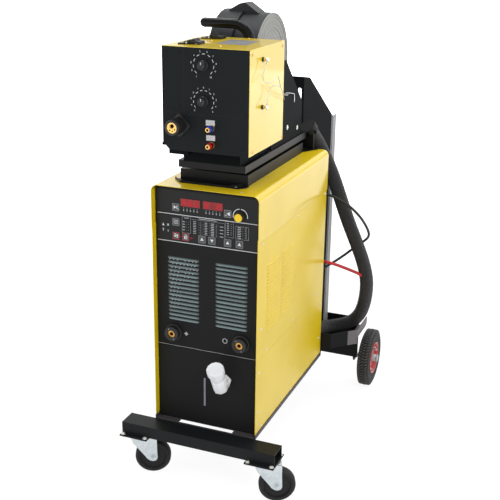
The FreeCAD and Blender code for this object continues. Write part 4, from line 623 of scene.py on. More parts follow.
wheel_rubber = worn_rubber("caster_rubber")
dressed(wheel_rubber, "caster_left_wheel", "caster_right_wheel")
CASTER_TURN, CASTER_X, CASTER_Y, CASTER_TRAIL, CASTER_R = math.radians(24.6), 233, -35, 45.6, 62.5
CHEEK = [(-30, 146), (-29, 136), (-22, 120), (-4, 97), (14, 74), (26, 58), (36, 50.5), (46, 48.5), (55, 51), (60, 57),
         (61.5, 64), (61, 74), (60, 100), (59.5, 146)]
for word, sign in (("left", -1), ("right", 1)):
    centre = (sign * CASTER_X, CASTER_Y, 0)
    fork = Form()
    for leg in (-1, 1):
        inner, outer = leg * 20.2, leg * 23.4
        fork.prism("y", min(inner, outer), max(inner, outer), CHEEK)
        fork.turned("y", CASTER_TRAIL, CASTER_R, counted(outer, leg, (5, 0), (12.5, 0), (12.5, 1.2), (5, 1.2)), 32)
        fork.hexagon("y", *sorted((outer + leg, outer + leg * 5.5)), CASTER_TRAIL, CASTER_R, 9, 0.3)
        fork.turned("y", CASTER_TRAIL, CASTER_R, counted(outer, leg, (0, 5), (4.6, 5), (4.6, 8), (3.8, 8.8),
                                                         (0, 8.8)), 24)
    fork.turned("z", 0, 0, [(8.05, 143), (8.05, 147), (31, 147), (33, 145.5), (33.5, 141), (32, 137), (30.5, 137),
                            (30.5, 143)], 56)
    fork.block(-30, 59.5, -23.4, 23.4, 143.4, 146.6)
    fork.turned("z", 0, 0, [(8.05, 142), (8.05, 147), (20, 147), (20, 142)], 40)
    fork.turned("y", CASTER_TRAIL, CASTER_R, [(0, -21), (4.9, -21), (4.9, 21), (0, 21)], 20)
    fork.turn(Matrix.Rotation(CASTER_TURN, 3, "Z"), (0, 0, 0), centre)
    fork.piece(f"caster_{word}_pressed_fork", zinc, f"caster_{word}", "zinc", [f"caster_{word}_fork"], 0.7, 40)
    Form().turned("z", *centre[:2], [(22, 147.6), (30, 147.6), (31.5, 149), (31, 151.5), (27, 152.9), (22, 152.9)],
                  56).piece(f"caster_{word}_ball_race", zinc, "cart", "zinc")

# Case screws and caster bolts. Pan-head screws with a cross slot hold every sheet of the case;
# hexagon bolts with washers hold the caster plates.


class Rule(Bench):
    """A Geometry Nodes tree in the making, whose sizes are its named inputs."""

    def __init__(self, name, **sizes):
        super().__init__(bpy.data.node_groups.new(name, "GeometryNodeTree"))
        face = self.tree.interface
        face.new_socket("Geometry", in_out="INPUT", socket_type="NodeSocketGeometry")
        for label, kind in {**sizes, "Finish": "Material"}.items():
            face.new_socket(label, in_out="INPUT", socket_type=f"NodeSocket{kind}")
        face.new_socket("Geometry", in_out="OUTPUT", socket_type="NodeSocketGeometry")
        self.inside = self.tree.nodes.new("NodeGroupInput")

    def given(self, label):
        return Signal(self, self.inside.outputs[label])

    def element(self):
        """The shape to be copied, about its own origin."""
        return self.node("GeometryNodeObjectInfo", {"transform_space": "ORIGINAL"},
                         {"Object": self.given("Element")}, output="Geometry")

    def closed(self, instances):
        """Make the copies real, give them their finish and end the tree."""
        real = self.node("GeometryNodeRealizeInstances", inputs={0: instances})
        done = self.node("GeometryNodeSetMaterial", inputs={"Geometry": real, "Material": self.given("Finish")})
        self.tree.links.new(done.socket, self.tree.nodes.new("NodeGroupOutput").inputs[0])
        return self


def follow(rule, mesh, **sizes):
    """Mesh of a rule laid on a mesh, with the rule's sizes."""
    thing = in_scene(mesh.name, mesh)
    modifier = thing.modifiers.new(rule.tree.name, "NODES")
    modifier.node_group = rule.tree
    for socket in rule.tree.interface.items_tree:
        if socket.in_out == "INPUT" and socket.name in sizes:
            modifier[socket.identifier] = sizes[socket.name]
    return settled(thing)


def spots_rule():
    """One element at each vertex of the mesh."""
    rule = Rule("element_at_each_spot", Element="Object")
    return rule.closed(rule.node("GeometryNodeInstanceOnPoints", inputs={
        "Points": rule.given("Geometry"), "Instance": rule.element()}))


at_spots = spots_rule()


def copied(rule, base, element, **sizes):
    """Mesh of a rule that lays copies of an element mesh on a base mesh; the element goes."""
    model = in_scene(base.name + "_element", element)
    mesh = follow(rule, base, Element=model, **sizes)
    bpy.data.objects.remove(model)
    bpy.data.meshes.remove(element)
    crease(mesh, 35)
    return mesh


def scattered(name, element, spots, finish, body, stands_for=()):
    """Copies of an element mesh, made about its own origin, at places in millimetres."""
    dots = bpy.data.meshes.new(name)
    dots.from_pydata([place(*spot) for spot in spots], [], [])
    return kept(name, copied(at_spots, dots, element, Finish=finish), None, body, stands_for)


def pan_head(name, radius, height, way, washer=0.0):
    """Domed head with a cross slot, its top along way."""
    layers = []
    for share in (0.0, 0.2, 0.42, 0.62, 0.82, 1.0):
        dome = height * math.sqrt(max(0.0, 1 - (share * 0.92) ** 2.6))
        layers.append([
            Vector((a, b, dome - (height * 0.5 if min(abs(a), abs(b)) < radius * 0.13 and share < 0.7 else 0)))
            for a, b in around(0, 0, radius * share, 24)])
    layers.append([Vector((v.x, v.y, -0.2)) for v in layers[-1]])
    head = Form(about=True).loft(layers)
    if washer:
        head.turned("z", 0, 0, [(radius * 0.5, 0), (washer, 0), (washer, 0.5), (radius * 0.5, 0.5)], 24)
    head.turn(Vector((0, 0, 1)).rotation_difference(Vector(way)).to_matrix(), (0, 0, 0))
    return head.made(name)


SKIN_IN, SKIN_X = 184.7, 186.2
SIDE_ROWS = [(44, 881), (376, 881), (695, 881), (37, 590), (693, 590), (96, 493), (366, 493), (636, 493), (26, 435),
             (689, 435), (28, 290), (686, 290), (58, 223), (350, 223), (652, 223)]
for word, sign in (("left", -1), ("right", 1)):
    scattered(f"case_screws_{word}", pan_head("head", 4.5, 1.9, (sign, 0, 0)),
              [(sign * SKIN_X, y, z) for y, z in SIDE_ROWS], bolt_zinc, "cart", ["case_screws"])
scattered("case_screws_front", pan_head("head", 4, 1.9, (0, -1, 0)), [(-126, 25, 214), (-7, 25, 212), (119, 25, 210)],
          black_coat, "cart")
scattered("platform_screws", pan_head("head", 4.5, 1.9, (0, 0, 1)),
          [(80, 70, 1049), (78, 696, 1049), (-90, 696, 1049), (117, 28, 1046)], bolt_zinc, "cart")


def hex_bolt(name):
    """Bolt through the caster plate: head and washer above, nut and thread below."""
    bolt = Form(about=True)
    bolt.hexagon("z", 5.8, 10.4, 0, 0, 7.4, 0.2)
    bolt.turned("z", 0, 0, [(0, 5), (9, 5), (9, 5.9), (0, 5.9)], 28)
    bolt.turned("z", 0, 0, [(0, 10), (5.6, 10), (4.6, 11), (0, 11.2)], 24)
    bolt.hexagon("z", -5, -0.9, 0, 0, 7.1, 0.7)
    bolt.turned("z", 0, 0, [(0, -1), (9, -1), (9, 0), (0, 0)], 28)
    bolt.turned("z", 0, 0, [(0, -5.5), (3.2, -5.5), (4, -4.9), (4, -1), (0, -1)], 20)
    return bolt.made(name, 0.3)


scattered("caster_plate_bolts", hex_bolt("bolt"),
          [(sign * CASTER_X + a * 42, CASTER_Y + b * 42, 153) for sign in (-1, 1) for a in (-1, 1) for b in (-1, 1)],
          bolt_zinc, "cart", ["case_screws"])

# Rear wheels. Pneumatic tyres with three rows of slanted lugs, on red pressed-steel rims in two
# bolted halves with a grey hub; they turn on the fixed axle.


def ring_rule():
    """Copies of an element turned about the X axis at even steps."""
    rule = Rule("ring_of_elements", Element="Object", Count="Int", Start="Float")
    line = rule.node("GeometryNodeMeshLine", {"mode": "OFFSET"}, {"Count": rule.given("Count"), "Offset": (0, 0, 0)})
    step = rule.node("GeometryNodeInputIndex") / rule.given("Count") * (2 * math.pi) + rule.given("Start")
    turn = rule.node("ShaderNodeCombineXYZ", inputs={"X": step})
    return rule.closed(rule.node("GeometryNodeInstanceOnPoints", inputs={
        "Points": line, "Instance": rule.element(), "Rotation": turn}))


around_axle = ring_rule()


def ringed(name, element, count, start, centre, finish, body):
    """A ring of copies of an element mesh round a place in millimetres."""
    mesh = copied(around_axle, bpy.data.meshes.new(name), element, Count=count, Start=start, Finish=finish)
    mesh.transform(Matrix.Translation(place(*centre)))
    return kept(name, mesh, None, body)


AXLE_Y, WHEEL_R, WHEEL_X, LUGS, LUG_WIDE = 952, 119, 330, 60, 5.6
TREAD = [(66.2, 20), (70, 22), (75, 22.6), (77, 21.8), (84, 24), (93, 24.8), (101, 24.4), (107, 23), (109, 21.4),
         (110.6, 20), (111.8, 16), (112.9, 9)]
CARCASS = [(r, -a) for r, a in TREAD] + [(113.3, 0)] + TREAD[::-1]
RIM = [(19.8, 2), (19.8, 6), (30, 6.2), (36, 10), (44, 11), (50, 9), (56, 10), (59, 17), (60, 21), (63, 24),
       (66.1, 24), (66.1, 20), (63.5, 19), (61, 8), (61, -12), (63.5, -19), (66.1, -20), (66.1, -24), (63, -24),
       (60, -21), (58, -12), (57, 4), (50, 5), (44, 7), (36, 6), (30, 2.2)]
HUB = [(10.06, -31), (14, -31), (15, -29), (15, -6), (19.9, -3), (19.9, 1.9), (27, 2.1), (27, 8), (19.9, 9),
       (16, 12), (15, 29), (14, 31), (10.06, 31)]
tyre_rubber = worn_rubber("tyre_rubber", (0.009, 0.009, 0.009, 1))
lug_rubber = worn_rubber("lug_grey_rubber", (0.07, 0.068, 0.068, 1))
rim_red = powder_coat("rim_red_coat", (0.46, 0.012, 0.01, 1), 0.3, 0.5, 0.4)
hub_grey = plated("hub_zinc", (0.5, 0.5, 0.5, 1), 0.4, 200)
for word, sign in (("left", -1), ("right", 1)):
    x, body = sign * WHEEL_X, f"wheel_{word}"
    axis = ("x", AXLE_Y, WHEEL_R)
    Form().turned(*axis, counted(x, sign, *CARCASS), 96).piece(
        f"rear_{word}_carcass", tyre_rubber, body, "tyre_rubber", [f"rear_{word}_tyre"], degrees=50)
    for row, (across, low, reach, slant, half) in enumerate((
            (0, 113.4, 118.9, 2.4, 2.9), (-13.5, 111.6, 118.0, -3, 3.2), (13.5, 111.6, 118.0, 3, 3.2))):
        lug = Form(about=True).loft([
            [Vector((across + LUG_WIDE * k * a, half * k * b + slant * a, z))
             for a, b in ((-1, -1), (1, -1), (1, 1), (-1, 1))]
            for z, k in ((low - 1.5, 1.12), (reach - 0.4, 1.0), (reach, 0.86))])
        ringed(f"rear_{word}_lugs_{row}", lug.made(f"lug_{row}"), LUGS, 0.05 * row, (x, *axis[1:]), lug_rubber,
               body)
    Form().turned(*axis, counted(x, sign, *RIM), 72).piece(
        f"rear_{word}_pressed_rim", rim_red, body, "red_rim", [f"rear_{word}_rim"], degrees=32)
    hub = Form().turned(*axis, counted(x, sign, *HUB), 48)
    hub.turned("x", AXLE_Y + 40 * math.cos(0.6), WHEEL_R + 40 * math.sin(0.6),
               counted(x, sign, (0, 9), (4, 9), (4, 24), (3.2, 26), (0, 26)), 20)
    hub.piece(f"rear_{word}_hub", hub_grey, body, "zinc", degrees=40)
    stud = Form(about=True).hexagon("x", sign * 10, sign * 15, 0, 50, 6, 0.2)
    stud.turned("x", 0, 50, counted(0, sign, (0, 9), (8, 9), (8, 10.2), (0, 10.2)), 24)
    stud.turned("x", 0, 50, counted(0, sign, (0, 14), (3, 14), (3, 18), (2.4, 18.6), (0, 18.6)), 16)
    ringed(f"rear_{word}_rim_bolts", stud.made("stud"), 5, 0.3, (x, *axis[1:]), bolt_zinc, body)

# Rear axle, shelf and column. A turned steel axle under a folded black shelf; the splayed column
# behind the case steadies the gas cylinder with a chain through its two slots.
COLUMN_BLACK = (0.0055, 0.006, 0.0072, 1)
# The paler grey tone on the outer flanges of the shelf and the column is a painted sheen.
for label, off, tone in (("shelf", 0.2826, (0.16, 0.15, 0.16, 1)), ("column", 0.1456, (0.33, 0.33, 0.335, 1))):
    dressed(powder_coat(f"{label}_black_coat", COLUMN_BLACK, 0.42, 0.12, 0.0, 0.3, band=(off, tone, True, 0)),
            f"rear_{label}")
dressed(plated("axle_steel", (0.46, 0.46, 0.47, 1), 0.36, 400), "rear_axle")
for name, spots in (("column_tie_bolts", [(a, 763.6, z) for a in (-18, 18) for z in (580, 980)]),
                    ("shelf_case_bolts", [(a, 719.6, 266) for a in (-160, -90, 90)])):
    scattered(name, pan_head("head", 5.5, 2.6, (0, 1, 0), 7.5), spots, bolt_zinc, "cart")

# Yellow case. Two side sheets on the cooler, two louvred ones on the power source and a folded
# cover over them, in glossy yellow powder paint; the louvres are pressed out of the sheet.
YELLOW = (0.85, 0.61, 0.006, 1)
# The band turns the inner faces of the side sheets behind the front near black, as painted shade inside the case.
yellow_coat = powder_coat("case_yellow_coat", YELLOW, 0.4, 0.1, 0.6, 0.1, 0.00002, 0.0012, 0.24,
                          (0.18474, (0.01, 0.01, 0.01, 1), False, -0.4655))
cover_coat = powder_coat("cover_yellow_coat", YELLOW, 0.4, 0.08, 0.8, 0.1, 0.00002, 0.0012, 0.13)
dressed(yellow_coat, "cooler_sides")
dressed(cover_coat, "top_cover")


def cut_sheet(form, axis, low, high, outline, holes):
    """Flat outline with holes, as thick as from low to high."""
    loops = [outline, *holes]
    rings = [[form.mesh.verts.new(form.spot(axis, low, a, b)) for a, b in loop] for loop in loops]
    edges = [form.mesh.edges.new((ring[k - 1], ring[k])) for ring in rings for k in range(len(ring))]
    filled = bmesh.ops.triangle_fill(form.mesh, use_beauty=True, use_dissolve=False, edges=edges)["geom"]
    faces = [item for item in filled if isinstance(item, bmesh.types.BMFace)]
    lift = form.spot(axis, high - low, 0, 0)
    twin = {vertex: form.mesh.verts.new(vertex.co + lift) for ring in rings for vertex in ring}
    for face in faces:
        form.mesh.faces.new([twin[vertex] for vertex in reversed(face.verts)])
    for ring in rings:
        for k in range(len(ring)):
            form.mesh.faces.new((ring[k - 1], ring[k], twin[ring[k]], twin[ring[k - 1]]))
    return form


def pressed_hood(name, axis, sign, length, height, proud, thick=0.9):
    """Shell of one louvre on a sheet across an axis: flush at its top and ends, open below."""
    hood = Form(about=True)
    across, down = 14, 5
    layers = []
    for depth in (0.0, thick):
        grid = []
        for i in range(across + 1):
            share = i / across - 0.5
            bulge = math.sin(min(1.0, (0.5 - abs(share)) * length / 7) * math.pi / 2)
            grid.append([hood.mesh.verts.new(hood.spot(
                axis, sign * (max(0.05, proud * bulge * math.sin(math.pi / 2 * k / down) ** 0.8) - depth),
                length * share, height * (1 - k / down))) for k in range(down + 1)])
        layers.append(grid)
    for grid in layers:
        for i in range(across):
            for k in range(down):
                hood.mesh.faces.new((grid[i][k], grid[i + 1][k], grid[i + 1][k + 1], grid[i][k + 1]))
    rim = ([(i, 0) for i in range(across)] + [(across, k) for k in range(down)]
           + [(i, down) for i in range(across, 0, -1)] + [(0, k) for k in range(down, 0, -1)])
    outer, inner = layers
    for (i, k), (m, n) in zip(rim, rim[1:] + rim[:1]):
        hood.mesh.faces.new((outer[i][k], outer[m][n], inner[m][n], inner[i][k]))
    return hood.made(name, degrees=50)


SIDE_FIELDS = ((86, 212), (226, 352))
SIDE_LOUVRES = [562 + 12 * i for i in range(20)]
for word, sign in (("left", -1), ("right", 1)):
    inner, outer = sign * SKIN_IN, sign * SKIN_X
    holes = [[(y0 + 3, z - 3.2), (y1 - 3, z - 3.2), (y1 - 3, z), (y0 + 3, z)]
             for y0, y1 in SIDE_FIELDS for z in SIDE_LOUVRES]
    cut_sheet(Form(), "x", min(inner, outer), max(inner, outer),
              [(0, 480.3), (713, 480.3), (713, 905), (0, 905)], holes).piece(
        f"source_side_{word}", yellow_coat, "cart", "yellow_paint", ["source_sides"] if sign > 0 else ())
    scattered(f"side_louvres_{word}", pressed_hood("hood", "x", sign, 126, 5.6, 2.9),
              [(outer, (y0 + y1) / 2, z) for y0, y1 in SIDE_FIELDS for z in SIDE_LOUVRES], yellow_coat, "cart")

# Black fronts. Powder-coated sheet set back between the side sheets; the upper one is louvred, and its hoods carry a
# painted grey-green sheen.
EDGE, FOOT, CROWN, BEND, FRONT_Y = 184.6, 480.4, 1044.1, 20.1, 25
LOUVRE_X, LOUVRE_LOW, LOUVRE_STEP = 86, 577, 14.4
SOCKET_X, SOCKET_Z = 123, 531
FRONT_LOUVRES = [LOUVRE_LOW + LOUVRE_STEP * i for i in range(16)]
front_coat = powder_coat("front_black_coat", (0.0085, 0.0088, 0.0088, 1), 0.5, 0.13, 0.0, 0.3)
dressed(front_coat, "cooler_front")
outline = [(-EDGE, FOOT), (EDGE, FOOT)]
for sign, start in ((1, 0.0), (-1, math.pi / 2)):
    outline += around(sign * (EDGE - BEND), CROWN - BEND, BEND, 9, start, math.pi / 16)
holes = [[(x - 52, z - 3.2), (x + 52, z - 3.2), (x + 52, z), (x - 52, z)]
         for x in (-LOUVRE_X, LOUVRE_X) for z in FRONT_LOUVRES]
holes += [around(x, SOCKET_Z, 13.5, 24) for x in (-SOCKET_X, SOCKET_X)]
front = cut_sheet(Form(), "y", FRONT_Y, FRONT_Y + 2, outline, holes)
front.turned("y", 115, 968, [(0, 8), (2.9, 8), (2.9, 25.2), (0, 25.2)], 20)
front.piece("source_front_sheet", front_coat, "cart", "black_paint", ["source_front"])


def slat_paint_with_painted_sheen():
    """The black paint of the hoods, with the pale sheen they show from above and in front painted into its colour."""
    paint = Finish("louvre_grey_sheen", Roughness=0.4, Specular_IOR_Level=0.5)
    # The sheen is painted: a pale band on the face of each hood, uneven from slat to slat, streaked, and fading
    # towards the hood's ends.
    rise = (paint.along("Z") * 1000 - LOUVRE_LOW) / LOUVRE_STEP
    step = rise.floor()
    up = (rise - step) * LOUVRE_STEP
    body = up.between(-0.4, 1.2) * (1 - up.between(3.2, 8.2))
    uneven = (step * 2.4).wave() * 0.12 + (step * 5.1 + 1.3).wave() * 0.1
    streak = paint.noise(30, 3, 0.5, (0.35, 1, 3))
    ends = 1 - abs(abs(paint.along("X")) - LOUVRE_X / 1000).between(0.046, 0.055) * 0.75
    light = body * (0.74 + uneven + streak * 0.35) * ends
    return paint.laid(Base_Color=paint.mix(light, (0.01, 0.011, 0.011, 1), (0.18, 0.25, 0.255, 1)),
                      Normal=paint.relief(streak, 0.00005))


scattered("front_louvres", pressed_hood("hood", "y", -1, 112, 8.6, 3.0),
          [(x, FRONT_Y, z) for x in (-LOUVRE_X, LOUVRE_X) for z in FRONT_LOUVRES], slat_paint_with_painted_sheen(), "cart")

# Control panel. A black film over the front with printed legends and marks, nine key
# fields, two display windows of dark red acrylic and a yellow-capped encoder knob.


class Print(Form):
    """Ink on an upright front face, as a film at a place along Y."""

    def __init__(self, face, film=0.06):
        super().__init__()
        self.low, self.high = face - film, face + 0.04

    def area(self, *corners):
        self.prism("y", self.low, self.high, corners)
        return self

    def box(self, x, z, width, height):
        return self.area((x - width / 2, z - height / 2), (x + width / 2, z - height / 2),
                         (x + width / 2, z + height / 2), (x - width / 2, z + height / 2))

    def stroke(self, x0, z0, x1, z1, width):
        off = Vector((z0 - z1, x1 - x0)).normalized() * width / 2
        return self.area((x0 + off.x, z0 + off.y), (x0 - off.x, z0 - off.y), (x1 - off.x, z1 - off.y),
                         (x1 + off.x, z1 + off.y))

    def line(self, width, *spots):
        for start, end in zip(spots, spots[1:]):
            self.stroke(*start, *end, width)
        return self

    def frame(self, x, z, width, height, line):
        a, b = width / 2, height / 2
        return self.line(line, (x - a, z - b), (x + a, z - b), (x + a, z + b), (x - a, z + b), (x - a, z - b))

    def arc(self, x, z, radius, width, start, end, steps=24):
        turns = [math.radians(start + (end - start) * k / steps) for k in range(steps + 1)]
        rim = [(x + r * math.cos(t), z + r * math.sin(t)) for r, ts in (
            (radius + width / 2, turns), (radius - width / 2, turns[::-1])) for t in ts]
        return self.area(*rim)

    def dot(self, x, z, radius=0.7):
        return self.area(*around(x, z, radius, 10))

    def figure(self, word, x, z, height):
        """Plain numerals, in the built-in letter shapes."""
        data = bpy.data.curves.new("figure", "FONT")
        data.body, data.size, data.extrude = word, height * 1.38, 0.05
        data.align_x, data.align_y = "CENTER", "CENTER"
        thing = bpy.data.objects.new("figure", data)
        letters = bpy.data.meshes.new_from_object(thing)
        upright = Matrix.Rotation(math.pi / 2, 4, "X")
        letters.transform(Matrix.Translation((x, (self.low + self.high) / 2, z)) @ upright)
        self.mesh.from_mesh(letters)
        bpy.data.objects.remove(thing)
        bpy.data.meshes.remove(letters)
        return self


def ink(name, colour, wear=0.25):
    """Screen-printed ink with slightly uneven cover."""
    paint = Finish(name, Roughness=0.5, Specular_IOR_Level=0.3)
    cover = paint.noise(900, 3).between(0.35, 0.75) * wear
    thin = tuple(c * 0.45 for c in colour[:3]) + (1,)
    return paint.laid(Base_Color=paint.mix(cover, colour, thin), Normal=paint.relief(cover, 0.00001))


def film(name, colour, roughness=0.32):
    """Polyester film with a fine texture and faint smears."""
    foil = Finish(name, Specular_IOR_Level=0.22)
    grain, smear = foil.noise(1600, 2), foil.noise(14, 5)
    pale = tuple(c * 1.5 + 0.002 for c in colour[:3]) + (1,)
    return foil.laid(Base_Color=foil.mix(smear.between(0.5, 0.8) * 0.5, colour, pale),
                     Roughness=roughness + smear * 0.15, Normal=foil.relief(grain, 0.00002, 0.0003))


white_ink = ink("white_ink", (0.76, 0.78, 0.80, 1))
pale_ink = ink("pale_ink", (0.52, 0.55, 0.57, 1), 0.4)
grey_ink = ink("key_grey_ink", (0.085, 0.09, 0.095, 1), 0.6)
border_ink = ink("key_border_ink", (0.21, 0.22, 0.23, 1), 0.4)
red_ink = ink("red_ink", (0.42, 0.012, 0.02, 1))
dressed(film("membrane_black_film", (0.0055, 0.0055, 0.006, 1)), "control_membrane")
FILM_Y, KEY_Y, DISPLAYS = 24.2, 23.8, (-58.5, 20.5)
EX, EZ = 115, 968
marks = Print(FILM_Y)
for z in (948, 854.6):
    marks.box(0, z, 355.4, 2)
marks.arc(EX, EZ, 24.5, 2.4, 196, 96).arc(EX, EZ, 24.5, 2.4, 84, -10)
marks.area((-161.5, 905), (-152.5, 905), (-157, 914))
marks.area((-161.5, 892), (-157, 896.5), (-152.5, 892), (-157, 893.6)).box(-157, 889, 2.4, 4)
marks.piece("panel_marks", white_ink, "cart", "pale_paint")

fine = Print(FILM_Y)
fine.box(-139.5, 909, 6, 7).box(-139.5, 891, 4.4, 1.4).box(-139.5, 888, 2.2, 5)
for x in DISPLAYS:
    for k in range(5):
        middle = x - 24 + 12 * k
        fine.dot(middle, 973, 1.0).box(middle, 968, 4.6, 1.1).box(middle, 964.4, 3, 3.2)
fine.frame(-73.5, 916.5, 30.2, 55, 0.5)
fine.box(-73.5, 939.5, 16, 1.6)
for z in (926.6, 918, 909, 899):
    fine.dot(-75, z).dot(-66, z).box(-83, z, 7, 2.4)
fine.line(0.5, (-55, 938), (62, 938), (62, 885)).line(0.5, (-22, 932), (-22, 888)).line(0.5, (32, 932), (32, 888))
fine.box(2, 942.5, 64, 1.8)
for k in range(8):
    z = 931 - 5.6 * k
    fine.box(-44, z, 10, 1.6).dot(-28, z).dot(-14, z).box(-4, z, 9, 1.8).dot(8, z).box(19, z, 11, 2.2)
    if k % 2:
        fine.dot(38, z).box(51, z, 12, 2)
fine.frame(78, 920, 28, 52, 0.5)
for k in range(6):
    fine.box(73, 939 - 7.2 * k, 7, 2).dot(84, 939 - 7.2 * k, 1)
fine.frame(122, 913.5, 44, 43, 0.5)
for k in range(7):
    fine.box(112, 931 - 5.8 * k, 12, 2).dot(124, 931 - 5.8 * k).arc(134, 931 - 5.8 * k, 2.2, 0.6, -60, 200, 8)
fine.piece("panel_fine_marks", pale_ink, "cart", "pale_paint")

# Key fields: a place, then the corners of a sign's filled areas and the middles and sizes of its
# bars, all about that place. Keys with an arrow up or down share one triangle.
KEY, ARROW = 25.4, ((-6.2, -4.4), (6.2, -4.4), (0, 6.6))
DOWN = tuple((x, -z) for x, z in ARROW)
WAVES = (4.6, -0.4, -5.4)
KEYS = {
    "step_right": (-111, 972, [((-7.5, -6), (3, 0), (-7.5, 6))], [(4.4, 0, 2, 11), (8, -5, 3, 3)]),
    "step_left": (72, 972, [((7.5, -7), (-4, 0), (7.5, 7))], [(-6.2, -6, 4, 2.6)]),
    "wave": (-111, 922, [], []),
    "mode_one": (-111, 874.5, [((-8, 0), (-1, 5.6), (-1, -5.6))],
                 [(4.6, 2, 6, 7), (4.6, -4.6, 6, 2.4), (-3, 7.4, 8, 1.6)]),
    "mode_two": (-76, 874.5, [], [(-3.4, -1.4, 4.4, 10), (3, 3.4, 6, 2.2), (3, -1, 6, 2.2), (3, -5.4, 6, 2.2),
                                  (0, 7.6, 9, 1.6)]),
    "up_one": (-18, 874.5, [ARROW], []), "down_one": (17, 874.5, [DOWN], []),
    "up_two": (72, 874.5, [ARROW], []), "up_three": (113, 874.5, [ARROW], [])}
squares, borders, signs, reds = Print(KEY_Y, 0.03), Print(KEY_Y), Print(KEY_Y, 0.09), Print(KEY_Y, 0.08)
for label, (x, z, areas, bars) in KEYS.items():
    squares.box(x, z, KEY, KEY)
    (reds if label.startswith("mode") else borders).frame(x, z, KEY - 2, KEY - 2, 1.7)
    for area in areas:
        signs.area(*[(x + a, z + b) for a, b in area])
    for a, b, width, height in bars:
        signs.box(x + a, z + b, width, height)
    for drop in WAVES if label == "wave" else ():
        signs.line(1.1, *[(x + a, z + drop + b) for a, b in ((-8, 0), (-4, 2.4), (0, -0.6), (4, 2.4), (8, 0))])
squares.piece("key_squares", grey_ink, "cart", "membrane")
borders.piece("key_borders", border_ink, "cart", "membrane")
signs.piece("key_signs", white_ink, "cart", "pale_paint")
reds.piece("key_red_borders", red_ink, "cart", "red_rim")
linked = Print(FILM_Y).box(-93.5, 874.5, 9.2, 1.3).box(-59.5, 874.5, 7, 1.3)
linked.box(-56, 873, 2, 6).box(-51, 874.5, 6, 1.2).piece("key_red_links", red_ink, "cart", "red_rim")

# Display windows and their digits. Dark red acrylic over glowing seven-segment digits.
acrylic = Finish("window_red_acrylic", Roughness=0.12, Specular_IOR_Level=0.45, Emission_Color=(0.5, 0.0, 0.004, 1),
                 Emission_Strength=0.12)
mist = acrylic.noise(60, 4)
dressed(acrylic.laid(Base_Color=acrylic.mix(mist.between(0.4, 0.8), (0.16, 0.0008, 0.002, 1), (0.2, 0.001, 0.003, 1)),
                     Normal=acrylic.relief(mist, 0.00002, 0.0006)), "display_windows")


def glow_red(name, colour, strength):
    lit = Finish(name, Roughness=0.4, Emission_Strength=strength, Specular_IOR_Level=0.1)
    flicker = lit.noise(500, 2).between(0.2, 0.8)
    shade = lit.mix(flicker * 0.3, colour, tuple(c * 0.7 for c in colour[:3]) + (1,))
    return lit.laid(Base_Color=shade, Emission_Color=shade)


DISPLAY_Z, WIDE, TALL, LEANING, BAR = 991, 5.2, 8.6, 0.6, 2.1
segments = {"lit": Print(22.7), "dim": Print(22.7)}
for x in DISPLAYS:
    for k in (-1, 0, 1):
        drawn = segments["dim" if (x > 0 and k == 0) else "lit"]
        middle = x + 21.5 * k
        for z in (-TALL, 0, TALL):
            left, right = (middle + way * (WIDE - 1.2) + LEANING * z / TALL for way in (-1, 1))
            drawn.stroke(left, DISPLAY_Z + z, right, DISPLAY_Z + z, BAR)
        for a in (-WIDE, WIDE):
            for z0, z1 in ((-TALL + 1, -1), (1, TALL - 1)):
                drawn.stroke(middle + a + LEANING * z0 / TALL, DISPLAY_Z + z0,
                             middle + a + LEANING * z1 / TALL, DISPLAY_Z + z1, BAR)
for label, name, finish in (("lit", "display_digits", glow_red("digit_bright_red", (0.62, 0.006, 0.018, 1), 0.3)),
                            ("dim", "display_digit_dim", glow_red("digit_dim_red", (0.26, 0.0015, 0.006, 1), 0.2))):
    segments[label].piece(name, finish, "cart", "window")


def plastic(name, colour, roughness=0.4, gloss=0.4, rounding=0.0008, fleck=0.15):
    """Moulded plastic: spark-eroded grain, sink marks and slightly rubbed edges."""
    resin = Finish(name, Specular_IOR_Level=gloss)
    grain, cloud = resin.noise(1100, 2), resin.noise(20, 4)
    pale = tuple(min(1, c * 1.3 + 0.008) for c in colour[:3]) + (1,)
    return resin.laid(Base_Color=resin.mix(cloud.between(0.4, 0.8) * fleck * 2, colour, pale),
                      Roughness=roughness + cloud * 0.14, Normal=resin.relief(grain + cloud * 0.6, 0.00005, rounding))


BORE = 3.05
knob_black = plastic("knob_black_plastic", (0.0075, 0.0075, 0.008, 1), 0.42)
yellow_cap = plastic("encoder_yellow_cap", (0.90, 0.60, 0.012, 1), 0.34, 0.5)


def grip(count, depth, from_radius):
    """Flutes round a knob from a radius outwards."""
    def flute(turn, radius, along):
        return 1 - (depth / radius if radius >= from_radius else 0) * (0.5 + 0.5 * math.cos(count * turn)) ** 2
    return flute


Form().turned("y", EX, EZ, [(BORE, 23.8), (16.8, 23.8), (16.9, 18.2), (16, 17), (14.1, 16.6), (13.9, 7.2),
                            (12.4, 6.6), (BORE, 6.6)], 72, grip(24, 0.9, 13.5)).piece(
    "encoder_skirt", knob_black, "encoder", "black_plastic", ["encoder_knob"], degrees=50)
Form().turned("y", EX, EZ, [(0, 6.8), (13.2, 6.8), (13.2, 5.2), (12.2, 4.2), (6, 4.0), (0, 4.05)], 56).piece(
    "encoder_cap", yellow_cap, "encoder", "yellow_plastic", degrees=30)

